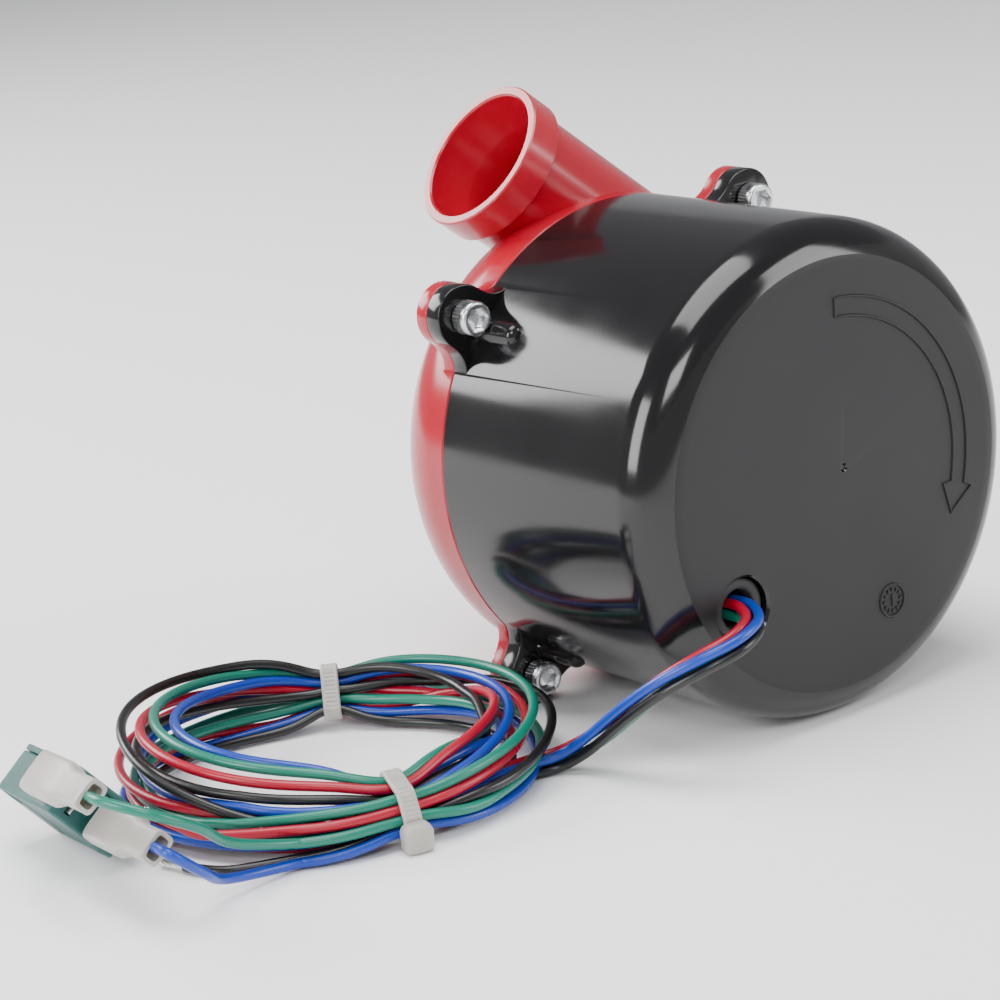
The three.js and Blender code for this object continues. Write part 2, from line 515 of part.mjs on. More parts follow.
// Insulating sleeves with the receptacle inside, pushed on the common and normally open tabs.
const plugs = [{ colour: "green", tab: tabs[0] }, { colour: "blue", tab: tabs[1] }];
for (const { colour, tab } of plugs) {
  const from = tab.x + 2.2;
  const shell = (shrink, over) => {
    const [wide, thick] = SLEEVE.mouth.map((size) => size - 2 * shrink);
    return box(SLEEVE.length + over, wide, thick, [from + SLEEVE.length / 2, tab.y, tab.z]);
  };
  place(microswitch, `sleeve_${colour}`, shaped(shell(0, 0), { cut: [shell(SLEEVE.wall, 2)] }), FINISH.milky);
  place(microswitch, `receptacle_${colour}`, box(SPADE.length, SPADE.width, SPADE.thick,
    [from + 0.6 + SPADE.length / 2, tab.y, tab.z - TAB.thick / 2 - CLEARANCE - SPADE.thick / 2]),
  FINISH.brass);
}

// The four tails leave the coil on its far side: two run into the sleeves, two end bare.
const tailRoutes = {
  green: [[128.8, 26.4, -41.5], [130.3, 27.2, -40.3], [133.2, 31, -36.6], [137.6, 33.8, -32.6],
    [142.5, 37.5, -30], [148.6, 39, -27.4], [154.28, 32.58, -25.44], [152.63, 22.28, -26.68]],
  blue: [[127.9, 31.7, -48], [130.6, 30.6, -46.9], [134.5, 31.2, -44.2], [138.8, 34.6, -41.4],
    [142.8, 40.8, -38.8], [148.24, 42.81, -34.64], [146.56, 32.32, -35.91]],
  red: [[129.5, 22.2, -42.6], [131.9, 18.9, -41], [133.4, 15.5, -39.9]],
  black: [[128, 28.2, -48.7], [130.8, 24, -48.7], [132.2, 19.8, -48.7]],
};
for (const colour of WIRE.colours)
  place(blower, `tail_${colour}`, tube(tailRoutes[colour], WIRE.radius, 4), FINISH[colour]);
const bareEnds = { red: [[133.5, 15.1, -39.8], [134, 11.1, -39.1]],
  black: [[132.3, 19.45, -48.75], [133.8, 14, -48.9]] };
for (const [colour, route] of Object.entries(bareEnds))
  place(blower, `bare_end_${colour}`, tube(route, BARE_END.radius, 3), FINISH.tinned);

export default root;
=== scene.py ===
"""Looks of the turbo sound blower: can, volute cover, fasteners, wire harness and microswitch."""

import logging
import math
from dataclasses import dataclass, field
from enum import Enum
from typing import Callable, Iterable, Optional, Sequence

import bmesh
import bpy
import numpy as np
from mathutils import Matrix, Vector


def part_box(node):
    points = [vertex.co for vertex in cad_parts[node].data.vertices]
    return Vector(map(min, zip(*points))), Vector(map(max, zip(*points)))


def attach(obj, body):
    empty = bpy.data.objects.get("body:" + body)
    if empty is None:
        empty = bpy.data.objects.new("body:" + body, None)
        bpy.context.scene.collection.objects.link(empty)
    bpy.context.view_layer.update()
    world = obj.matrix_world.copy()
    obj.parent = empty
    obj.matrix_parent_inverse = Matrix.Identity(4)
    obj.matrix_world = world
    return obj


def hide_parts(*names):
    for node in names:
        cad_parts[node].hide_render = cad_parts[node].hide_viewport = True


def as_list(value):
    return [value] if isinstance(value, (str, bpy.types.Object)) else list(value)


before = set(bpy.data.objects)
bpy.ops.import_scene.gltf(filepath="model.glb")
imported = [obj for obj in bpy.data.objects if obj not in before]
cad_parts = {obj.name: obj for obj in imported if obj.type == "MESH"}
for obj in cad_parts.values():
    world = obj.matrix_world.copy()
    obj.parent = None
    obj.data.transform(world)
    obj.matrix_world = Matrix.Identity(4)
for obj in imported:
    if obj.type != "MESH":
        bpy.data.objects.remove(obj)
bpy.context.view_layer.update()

logging.basicConfig(level=logging.INFO, format="%(levelname)s %(message)s")
LOG = logging.getLogger("blower")

MM = 0.001
HOUSING = "housing"
SHARP_ANGLE = 32.0
FULL_TURN = 2 * math.pi
SAME_POINT = 1e-7
ON_AXIS = 1e-6
MIX_FIRST, MIX_SECOND, MIX_RESULT = 6, 7, 2
Profile = list[tuple[float, float]]
Piece = bpy.types.Object
Tree = bpy.types.NodeTree


# ---------------------------------------------------------------------------
# Places that the frame gives
# ---------------------------------------------------------------------------
@dataclass(frozen=True)
class Datum:
    """Where the blower's own millimetre axes lie in the frame: can axis, seam plane and ground."""

    axis_x: float
    axis_z: float
    seam_y: float
    back_y: float

    @classmethod
    def from_frame(cls) -> "Datum":
        """Reads the datum from the shaft and the can.

        Returns:
            The datum.
        """
        shaft_low, shaft_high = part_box("rotor_shaft")
        can_low, can_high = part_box("rear_motor_can")
        middle = (shaft_low + shaft_high) / 2
        return cls(middle.x, middle.z, can_low.y, can_high.y)

    @property
    def length(self) -> float:
        """Length of the can in millimetres."""
        return (self.back_y - self.seam_y) / MM

    def point(self, place: Sequence[float]) -> Vector:
        """A point given in blower millimetres, in the frame's metres."""
        x, y, z = place
        return Vector((self.axis_x + x * MM, self.seam_y + y * MM, self.axis_z + z * MM))

    def points(self, places: Iterable[Sequence[float]]) -> np.ndarray:
        """Many points given in blower millimetres, in the frame's metres."""
        origin = np.array([self.axis_x, self.seam_y, self.axis_z])
        return origin + np.array(list(places), float) * MM

    @property
    def ground(self) -> float:
        """Height of the ground in blower millimetres."""
        return -self.axis_z / MM


# ---------------------------------------------------------------------------
# Finishes
# ---------------------------------------------------------------------------
class WireColour(Enum):
    """The four wires of the harness."""

    RED = "red"
    BLACK = "black"
    BLUE = "blue"
    GREEN = "green"


@dataclass(frozen=True)
class Finish:
    """A moulded or metal surface, with how it varies from place to place.

    Colours are linear. Scale is the number of grains in a metre, grain the height of the finest bumps.
    """

    name: str
    slot: str
    colour: tuple[float, float, float]
    second: tuple[float, float, float]
    roughness: float
    smudge: float = 0.08
    scale: float = 60.0
    grain_scale: float = 2500.0
    grain: float = 0.03
    metallic: float = 0.0
    coat: float = 0.0
    subsurface: float = 0.0
    wear: float = 0.0
    wear_colour: tuple[float, float, float] = (0.5, 0.5, 0.5)
    lines: float = 0.0
    ior: float = 1.5
    transmission: float = 0.0


CAN_GLOSS = Finish("can_gloss_black", "black_can", (0.0045, 0.004, 0.0045), (0.008, 0.0072, 0.0078), 0.12,
                   smudge=0.06, scale=45, grain=0.006, wear=0.2, wear_colour=(0.035, 0.033, 0.035))
CAN_SATIN = Finish("can_satin_black", "black_can", (0.010, 0.0088, 0.0098), (0.015, 0.0135, 0.0148),
                   0.46, smudge=0.1, scale=38, grain_scale=3800, grain=0.05, wear=0.3,
                   wear_colour=(0.045, 0.043, 0.045), ior=1.4)
COVER_RED = Finish("cover_gloss_red", "red_cover", (0.40, 0.0015, 0.016), (0.33, 0.001, 0.013), 0.2,
                   smudge=0.08, scale=40, grain=0.008, wear=0.3, wear_colour=(0.72, 0.10, 0.11), coat=0.1)
ZINC = Finish("bright_zinc", "zinc", (0.76, 0.77, 0.78), (0.60, 0.61, 0.62), 0.24, smudge=0.14, scale=260,
              grain_scale=5200, grain=0.05, metallic=1.0, wear=0.4, wear_colour=(0.9, 0.9, 0.9))
NYLON = Finish("milky_nylon", "milky_nylon", (0.60, 0.575, 0.53), (0.50, 0.475, 0.43), 0.34,
               smudge=0.12, scale=300, grain_scale=3000, grain=0.02, subsurface=0.3, transmission=0.3)
TEAL = Finish("teal_case", "teal_plastic", (0.004, 0.078, 0.070), (0.003, 0.060, 0.054), 0.42, smudge=0.1,
              scale=220, grain_scale=2600, grain=0.12, wear=0.5, wear_colour=(0.1, 0.36, 0.32))
RUBBER = Finish("black_rubber", "rubber", (0.012, 0.012, 0.012), (0.02, 0.02, 0.02), 0.6, smudge=0.1,
                scale=240, grain_scale=2600, grain=0.1)
TINNED = Finish("tinned_metal", "tinned", (0.62, 0.61, 0.58), (0.45, 0.44, 0.41), 0.3, smudge=0.15,
                scale=500, grain_scale=6000, grain=0.06, metallic=1.0, wear=0.3,
                wear_colour=(0.8, 0.79, 0.76))
STEEL = Finish("plain_steel", "steel", (0.46, 0.47, 0.48), (0.36, 0.37, 0.38), 0.34, smudge=0.12,
               scale=150, grain_scale=4000, grain=0.04, metallic=1.0, lines=0.4)
COPPER = Finish("copper_winding", "copper", (0.70, 0.31, 0.14), (0.52, 0.2, 0.08), 0.3, smudge=0.1,
                scale=400, grain_scale=3000, grain=0.3, metallic=1.0, lines=0.8)
BRONZE = Finish("sintered_bronze", "bronze", (0.58, 0.40, 0.17), (0.44, 0.3, 0.12), 0.42, smudge=0.1,
                scale=500, grain_scale=5000, grain=0.15, metallic=1.0)
FERRITE = Finish("ferrite_magnet", "ferrite", (0.035, 0.034, 0.034), (0.055, 0.053, 0.052), 0.7, smudge=0.1,
                 scale=300, grain_scale=3500, grain=0.2)
CARBON = Finish("brush_carbon", "carbon", (0.02, 0.02, 0.021), (0.035, 0.035, 0.036), 0.75, smudge=0.08,
                scale=500, grain_scale=5000, grain=0.25)
GREY_NYLON = Finish("grey_glass_nylon", "grey_nylon", (0.16, 0.165, 0.17), (0.12, 0.125, 0.13), 0.5,
                    smudge=0.08, scale=200, grain_scale=2500, grain=0.1)
BOARD = Finish("green_laminate", "circuit_board", (0.015, 0.16, 0.055), (0.01, 0.12, 0.045), 0.35,
               smudge=0.08, scale=300, grain_scale=2400, grain=0.05)
RELAY = Finish("relay_case_blue", "relay_blue", (0.03, 0.16, 0.46), (0.025, 0.13, 0.4), 0.35, smudge=0.06,
               scale=200, grain=0.04)
SHRINK = Finish("dark_shrink_sleeve", "capacitor_sleeve", (0.015, 0.02, 0.035), (0.02, 0.026, 0.045), 0.3,
                smudge=0.06, scale=200, grain=0.02)
WIRE_FINISH = {
    WireColour.RED: Finish("wire_pvc_red", "wire_red", (0.40, 0.001, 0.022), (0.32, 0.001, 0.017), 0.3,
                           smudge=0.08, scale=130, grain_scale=1800, grain=0.03),
    WireColour.BLACK: Finish("wire_pvc_black", "wire_black", (0.004, 0.004, 0.004), (0.008, 0.008, 0.008),
                             0.3, smudge=0.08, scale=130, grain_scale=1800, grain=0.03),
    WireColour.BLUE: Finish("wire_pvc_blue", "wire_blue", (0.002, 0.042, 0.38), (0.002, 0.032, 0.30), 0.3,
                            smudge=0.08, scale=130, grain_scale=1800, grain=0.03),
    WireColour.GREEN: Finish("wire_pvc_green", "wire_green", (0.001, 0.18, 0.118), (0.001, 0.14, 0.092),
                             0.3, smudge=0.08, scale=130, grain_scale=1800, grain=0.03),
}


class ShaderGroups:
    """The effects that several finishes share, each a node group built once."""

    BROAD_OCTAVES = 4.0
    FINE_OCTAVES = 2.0
    NOISE_MIDDLE = 0.45
    SMUDGE_GAIN = 3.0
    LEAST_ROUGHNESS = 0.04
    EDGE_FROM, EDGE_TO = 0.52, 0.62
    EDGE_PATCHES, EDGE_OCTAVES = 420.0, 3.0
    LINE_SCALE, LINE_WOBBLE = 620.0, 0.6

    def __init__(self) -> None:
        """Builds the three groups."""
        self.moulded = self._moulded()
        self.worn_edge = self._worn_edge()
        self.fine_lines = self._fine_lines()

    @staticmethod
    def _sockets(tree: Tree, inputs: dict[str, str], outputs: dict[str, str]) -> tuple:
        """Gives a group its sockets.

        Args:
            tree: The group.
            inputs: Socket type of each named input.
            outputs: Socket type of each named output.

        Returns:
            The group's input and output nodes.
        """
        for name, kind in inputs.items():
            tree.interface.new_socket(name, in_out="INPUT", socket_type=kind)
        for name, kind in outputs.items():
            tree.interface.new_socket(name, in_out="OUTPUT", socket_type=kind)
        return tree.nodes.new("NodeGroupInput"), tree.nodes.new("NodeGroupOutput")

    @staticmethod
    def _maths(tree: Tree, operation: str, first: object, second: object) -> object:
        """Adds a maths node on two sockets or numbers.

        Args:
            tree: Where the node goes.
            operation: The node's operation.
            first: Left side.
            second: Right side.

        Returns:
            The node's output socket.
        """
        node = tree.nodes.new("ShaderNodeMath")
        node.operation = operation
        for index, value in enumerate((first, second)):
            if isinstance(value, bpy.types.NodeSocket):
                tree.links.new(value, node.inputs[index])
            else:
                node.inputs[index].default_value = value
        return node.outputs[0]

    @staticmethod
    def _noise(tree: Tree, place: object, scale: object, detail: float) -> object:
        """Adds a noise texture.

        Args:
            tree: Where the node goes.
            place: Socket of the coordinates.
            scale: Socket or number for the noise scale.
            detail: Octaves of the noise.

        Returns:
            The noise's value socket.
        """
        node = tree.nodes.new("ShaderNodeTexNoise")
        node.inputs["Detail"].default_value = detail
        tree.links.new(place, node.inputs["Vector"])
        if isinstance(scale, bpy.types.NodeSocket):
            tree.links.new(scale, node.inputs["Scale"])
        else:
            node.inputs["Scale"].default_value = scale
        return node.outputs[0]

    def _moulded(self) -> Tree:
        """Mottled colour, smudged gloss and fine grain of a handled surface.

        Returns:
            The group.
        """
        tree = bpy.data.node_groups.new("moulded_surface", "ShaderNodeTree")
        given, result = self._sockets(
            tree,
            {"Colour": "NodeSocketColor", "Second Colour": "NodeSocketColor",
             "Scale": "NodeSocketFloat", "Grain Scale": "NodeSocketFloat",
             "Base Roughness": "NodeSocketFloat", "Smudge": "NodeSocketFloat"},
            {"Colour": "NodeSocketColor", "Roughness": "NodeSocketFloat", "Height": "NodeSocketFloat"})
        place = tree.nodes.new("ShaderNodeTexCoord").outputs["Object"]
        broad = self._noise(tree, place, given.outputs["Scale"], self.BROAD_OCTAVES)
        fine = self._noise(tree, place, given.outputs["Grain Scale"], self.FINE_OCTAVES)
        mix = tree.nodes.new("ShaderNodeMix")
        mix.data_type = "RGBA"
        tree.links.new(broad, mix.inputs["Factor"])
        tree.links.new(given.outputs["Colour"], mix.inputs[MIX_FIRST])
        tree.links.new(given.outputs["Second Colour"], mix.inputs[MIX_SECOND])
        centred = self._maths(tree, "SUBTRACT", broad, self.NOISE_MIDDLE)
        swing = self._maths(tree, "MULTIPLY", centred, given.outputs["Smudge"])
        gloss = self._maths(tree, "ADD", given.outputs["Base Roughness"],
                            self._maths(tree, "MULTIPLY", swing, self.SMUDGE_GAIN))
        tree.links.new(mix.outputs[MIX_RESULT], result.inputs["Colour"])
        floor = self._maths(tree, "MAXIMUM", gloss, self.LEAST_ROUGHNESS)
        tree.links.new(floor, result.inputs["Roughness"])
        tree.links.new(fine, result.inputs["Height"])
        return tree

    def _worn_edge(self) -> Tree:
        """Mask of the outer edges, where handling rubs a surface lighter.

        Returns:
            The group.
        """
        tree = bpy.data.node_groups.new("worn_edge", "ShaderNodeTree")
        given, result = self._sockets(tree, {"Amount": "NodeSocketFloat"}, {"Mask": "NodeSocketFloat"})
        sharp = tree.nodes.new("ShaderNodeNewGeometry").outputs["Pointiness"]
        ramp = tree.nodes.new("ShaderNodeMapRange")
        ramp.inputs["From Min"].default_value = self.EDGE_FROM
        ramp.inputs["From Max"].default_value = self.EDGE_TO
        tree.links.new(sharp, ramp.inputs["Value"])
        place = tree.nodes.new("ShaderNodeTexCoord").outputs["Object"]
        broken = self._noise(tree, place, self.EDGE_PATCHES, self.EDGE_OCTAVES)
        patchy = self._maths(tree, "MULTIPLY", ramp.outputs["Result"], broken)
        mask = self._maths(tree, "MULTIPLY", patchy, given.outputs["Amount"])
        tree.links.new(mask, result.inputs["Mask"])
        return tree

    def _fine_lines(self) -> Tree:
        """Height of fine parallel lines, as drawn metal or wound wire has.

        Returns:
            The group.
        """
        tree = bpy.data.node_groups.new("fine_lines", "ShaderNodeTree")
        given, result = self._sockets(tree, {"Amount": "NodeSocketFloat"}, {"Height": "NodeSocketFloat"})
        place = tree.nodes.new("ShaderNodeTexCoord").outputs["Object"]
        wave = tree.nodes.new("ShaderNodeTexWave")
        wave.bands_direction = "Y"
        wave.inputs["Scale"].default_value = self.LINE_SCALE
        wave.inputs["Distortion"].default_value = self.LINE_WOBBLE
        tree.links.new(place, wave.inputs["Vector"])
        height = self._maths(tree, "MULTIPLY", wave.outputs["Fac"], given.outputs["Amount"])
        tree.links.new(height, result.inputs["Height"])
        return tree


class Paint:
    """Makes the material of each finish once, and dresses pieces with it."""

    BUMP_GAIN = 4
    BUMP_DEPTH = 0.1 * MM
    COAT_ROUGHNESS = 0.06
    SCATTER_DEPTH = 1.5 * MM
    SCATTER_COLOUR = (1.0, 0.9, 0.75)

    def __init__(self) -> None:
        """Builds the shared groups."""
        self.groups = ShaderGroups()
        self.made: dict[str, bpy.types.Material] = {}

    @staticmethod
    def _place_group(tree: Tree, group: Tree,
                     values: dict[str, object]) -> bpy.types.Node:
        """Puts a shared group in a material with its own values.

        Args:
            tree: The material's nodes.
            group: The shared group.
            values: Value of each input by name.

        Returns:
            The group's node.
        """
        node = tree.nodes.new("ShaderNodeGroup")
        node.node_tree = group
        for name, value in values.items():
            node.inputs[name].default_value = value
        return node

    def material(self, finish: Finish) -> bpy.types.Material:
        """The material of a finish.

        Args:
            finish: The surface wanted.

        Returns:
            A node material, made the first time it is asked for.
        """
        if finish.name in self.made:
            return self.made[finish.name]
        material = bpy.data.materials.new(finish.name)
        material.use_nodes = True
        tree = material.node_tree
        shader = tree.nodes["Principled BSDF"]
        surface = self._place_group(tree, self.groups.moulded, {
            "Colour": (*finish.colour, 1), "Second Colour": (*finish.second, 1), "Scale": finish.scale,
            "Grain Scale": finish.grain_scale, "Base Roughness": finish.roughness, "Smudge": finish.smudge})
        colour = surface.outputs["Colour"]
        if finish.wear:
            edge = self._place_group(tree, self.groups.worn_edge, {"Amount": finish.wear})
            mix = tree.nodes.new("ShaderNodeMix")
            mix.data_type = "RGBA"
            mix.inputs[MIX_SECOND].default_value = (*finish.wear_colour, 1)
            tree.links.new(edge.outputs["Mask"], mix.inputs["Factor"])
            tree.links.new(colour, mix.inputs[MIX_FIRST])
            colour = mix.outputs[MIX_RESULT]
        tree.links.new(colour, shader.inputs["Base Color"])
        tree.links.new(surface.outputs["Roughness"], shader.inputs["Roughness"])
        height = surface.outputs["Height"]
        if finish.lines:
            lines = self._place_group(tree, self.groups.fine_lines, {"Amount": finish.lines})
            add = tree.nodes.new("ShaderNodeMath")
            add.operation = "ADD"
            tree.links.new(height, add.inputs[0])
            tree.links.new(lines.outputs["Height"], add.inputs[1])
            height = add.outputs[0]
        bump = tree.nodes.new("ShaderNodeBump")
        bump.inputs["Strength"].default_value = min(1.0, finish.grain * self.BUMP_GAIN)
        bump.inputs["Distance"].default_value = self.BUMP_DEPTH
        tree.links.new(height, bump.inputs["Height"])
        tree.links.new(bump.outputs["Normal"], shader.inputs["Normal"])
        shader.inputs["Metallic"].default_value = finish.metallic
        shader.inputs["IOR"].default_value = finish.ior
        shader.inputs["Coat Weight"].default_value = finish.coat
        shader.inputs["Coat Roughness"].default_value = self.COAT_ROUGHNESS
        shader.inputs["Transmission Weight"].default_value = finish.transmission
        if finish.subsurface:
            shader.inputs["Subsurface Weight"].default_value = finish.subsurface
            shader.inputs["Subsurface Radius"].default_value = self.SCATTER_COLOUR
            shader.inputs["Subsurface Scale"].default_value = self.SCATTER_DEPTH
        self.made[finish.name] = material
        return material

    def dress(self, piece: Piece, *finishes: Finish) -> None:
        """Gives a piece its finishes.

        Args:
            piece: The object.
            finishes: Its surfaces, in the order of its material slots.
        """
        piece.data.materials.clear()
        for finish in finishes:
            piece.data.materials.append(self.material(finish))

    def dress_node(self, node: str, finish: Finish) -> None:
        """Gives a CAD node that stays a better material in its own slots.

        Args:
            node: Name of the node.
            finish: The surface wanted.
        """
        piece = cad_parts[node]
        if not piece.material_slots:
            piece.data.materials.append(None)
        for place in piece.material_slots:
            place.material = self.material(finish)


# ---------------------------------------------------------------------------
# Mesh helpers
# ---------------------------------------------------------------------------
def new_piece(name: str, vertices: Iterable, faces: Iterable, sharp: float = SHARP_ANGLE) -> Piece:
    """A mesh object with outward faces, smooth except over sharp edges.

    Args:
        name: Name of the object.
        vertices: Points in metres.
        faces: Lists of point numbers.
        sharp: Angle in degrees above which an edge stays sharp.

    Returns:
        The linked object.
    """
    mesh = bpy.data.meshes.new(name)
    mesh.from_pydata([tuple(v) for v in vertices], [], [tuple(f) for f in faces])
    tidy_mesh(mesh, sharp)
    piece = bpy.data.objects.new(name, mesh)
    bpy.context.scene.collection.objects.link(piece)
    return piece


def tidy_mesh(mesh: bpy.types.Mesh, sharp: float = SHARP_ANGLE) -> None:
    """Merges doubled points, turns the faces outward and sets the smooth shading.

    Args:
        mesh: The mesh.
        sharp: Angle in degrees above which an edge stays sharp.
    """
    work = bmesh.new()
    work.from_mesh(mesh)
    bmesh.ops.remove_doubles(work, verts=work.verts, dist=SAME_POINT)
    bmesh.ops.recalc_face_normals(work, faces=work.faces)
    work.to_mesh(mesh)
    work.free()
    mesh.shade_smooth()
    mesh.set_sharp_from_angle(angle=math.radians(sharp))
    mesh.update()


def loop_of_angles(steps: int) -> np.ndarray:
    """Equal steps once round, in radians."""
    return np.linspace(0, FULL_TURN, steps, endpoint=False)


def squared(share: float, power: float) -> float:
    """A cosine or sine drawn towards its end, which makes an oval a rounded box."""
    return math.copysign(abs(share) ** power, share)


def rings_to_piece(name: str, rings: Sequence[np.ndarray], closed: bool = False,
                   caps: bool = True, sharp: float = SHARP_ANGLE) -> Piece:
    """Skins a row of equal rings of points.

    Args:
        name: Name of the object.
        rings: Each a loop of points in metres, all of the same number.
        closed: Whether the last ring joins the first.
        caps: Whether the two ends are closed by a face.
        sharp: Angle in degrees above which an edge stays sharp.

    Returns:
        The linked object.
    """
    count = len(rings[0])
    vertices = np.concatenate(rings)
    pairs = len(rings) if closed else len(rings) - 1
    faces = []
    for i in range(pairs):
        a, b = i * count, ((i + 1) % len(rings)) * count
        faces += [(a + j, a + (j + 1) % count, b + (j + 1) % count, b + j) for j in range(count)]
    if caps and not closed:
        faces += [tuple(range(count)), tuple(range((len(rings) - 1) * count, len(rings) * count))]
    return new_piece(name, vertices, faces, sharp)


def about_y(name: str, profile: Profile, segments: int, datum: Datum,
            centre: Sequence[float] = (0.0, 0.0)) -> Piece:
    """Turns a closed outline about a line along Y.

    Args:
        name: Name of the object.
        profile: Closed outline as (radius, y) in blower millimetres, each radius above 0 or on the axis.
        segments: Steps round the axis.
        datum: Where the blower lies.
        centre: X and Z of the axis in blower millimetres.

    Returns:
        The linked object.
    """
    angles = loop_of_angles(segments)
    rings = [datum.points([(centre[0] + r * math.cos(a), y, centre[1] + r * math.sin(a)) for a in angles])
             for r, y in profile]
    open_ended = profile[0][0] < ON_AXIS and profile[-1][0] < ON_AXIS
    return rings_to_piece(name, rings, closed=not open_ended, caps=False)


def quarter(centre: tuple[float, float], semi: tuple[float, float], start: float, end: float,
            steps: int) -> Profile:
    """Points of an ellipse's arc.

    Args:
        centre: Middle of the ellipse.
        semi: Its two half widths.
        start: Angle of the first point in degrees.
        end: Angle of the last point.
        steps: Number of steps between them.

    Returns:
        The points.
    """
    angles = np.radians(np.linspace(start, end, steps + 1))
    return [(centre[0] + semi[0] * math.cos(a), centre[1] + semi[1] * math.sin(a)) for a in angles]


def prism(name: str, outline: Sequence[tuple[float, float]], low: float, high: float,
          datum: Datum) -> Piece:
    """An outline raised along Y.

    Args:
        name: Name of the object.
        outline: Points in X and Z, in blower millimetres.
        low: Y of the first end.
        high: Y of the second end.
        datum: Where the blower lies.

    Returns:
        The linked object.
    """
    rings = [datum.points([(x, y, z) for x, z in outline]) for y in (low, high)]
    return rings_to_piece(name, rings)


def apply_modifiers(piece: Piece) -> Piece:
    """Turns a piece's modifiers into its mesh.

    Args:
        piece: The mesh object.

    Returns:
        The same object.
    """
    graph = bpy.context.evaluated_depsgraph_get()
    mesh = bpy.data.meshes.new_from_object(piece.evaluated_get(graph))
    piece.modifiers.clear()
    piece.data = mesh
    tidy_mesh(mesh)
    return piece


def soften(piece: Piece, width: float, segments: int = 3,
           angle: float = 40.0) -> Piece:
    """Rounds a piece's sharp edges.

    Args:
        piece: The mesh object.
        width: Size of the rounding in millimetres.
        segments: Steps over the rounding.
        angle: Edges sharper than this many degrees are rounded.

    Returns:
        The same object.
    """
    bevel = piece.modifiers.new("soften", "BEVEL")
    bevel.width = width * MM
    bevel.segments = segments
    bevel.limit_method = "ANGLE"
    bevel.angle_limit = math.radians(angle)
    bevel.harden_normals = False
    return apply_modifiers(piece)


def combine(piece: Piece, others: Sequence[Piece],
            operation: str) -> Piece:
    """Joins others to a piece, or cuts them from it, and removes them.

    Args:
        piece: The body.
        others: What is joined or cut.
        operation: UNION or DIFFERENCE.

    Returns:
        The body.
    """
    for other in others:
        join = piece.modifiers.new("combine", "BOOLEAN")
        join.operation = operation
        join.solver = "EXACT"
        join.object = other
        apply_modifiers(piece)
        bpy.data.objects.remove(other)
    return piece


def merge_pieces(name: str, pieces: Sequence[Piece]) -> Piece:
    """Puts several closed meshes that touch into one object.

    Args:
        name: Name of the new object.
        pieces: The meshes, which are removed.

    Returns:
        The linked object.
    """
    work = bmesh.new()
    for piece in pieces:
        work.from_mesh(piece.data)
        bpy.data.objects.remove(piece)
    mesh = bpy.data.meshes.new(name)
    work.to_mesh(mesh)
    work.free()
    mesh.shade_smooth()
    mesh.set_sharp_from_angle(angle=math.radians(SHARP_ANGLE))
    merged = bpy.data.objects.new(name, mesh)
    bpy.context.scene.collection.objects.link(merged)
    return merged


def smooth_line(points: Sequence[Sequence[float]], spacing: float) -> np.ndarray:
    """A smooth curve through points, as points about a spacing apart.

    Args:
        points: The route.
        spacing: Distance between the points returned.

    Returns:
        An array of points that starts and ends with the route's own ends.
    """
    route = np.array(points, float)
    route = np.vstack([2 * route[0] - route[1], route, 2 * route[-1] - route[-2]])
    line = [route[1]]
    for a, b, c, d in zip(route, route[1:], route[2:], route[3:]):
        knots = np.cumsum([0.0] + [max(np.linalg.norm(q - p) ** 0.5, 1e-6)
                                   for p, q in ((a, b), (b, c), (c, d))])
        steps = max(2, int(round(np.linalg.norm(c - b) / spacing)))
        for t in np.linspace(knots[1], knots[2], steps + 1)[1:]:
            ab = blend_points(a, b, knots[0], knots[1], t)
            bc = blend_points(b, c, knots[1], knots[2], t)
            cd = blend_points(c, d, knots[2], knots[3], t)
            abc = blend_points(ab, bc, knots[0], knots[2], t)
            bcd = blend_points(bc, cd, knots[1], knots[3], t)
            line.append(blend_points(abc, bcd, knots[1], knots[2], t))
    return np.array(line)


def blend_points(first: np.ndarray, second: np.ndarray, low: float, high: float, at: float) -> np.ndarray:
    """The point at a knot value between those of two others."""
    return first + (second - first) * (at - low) / (high - low)


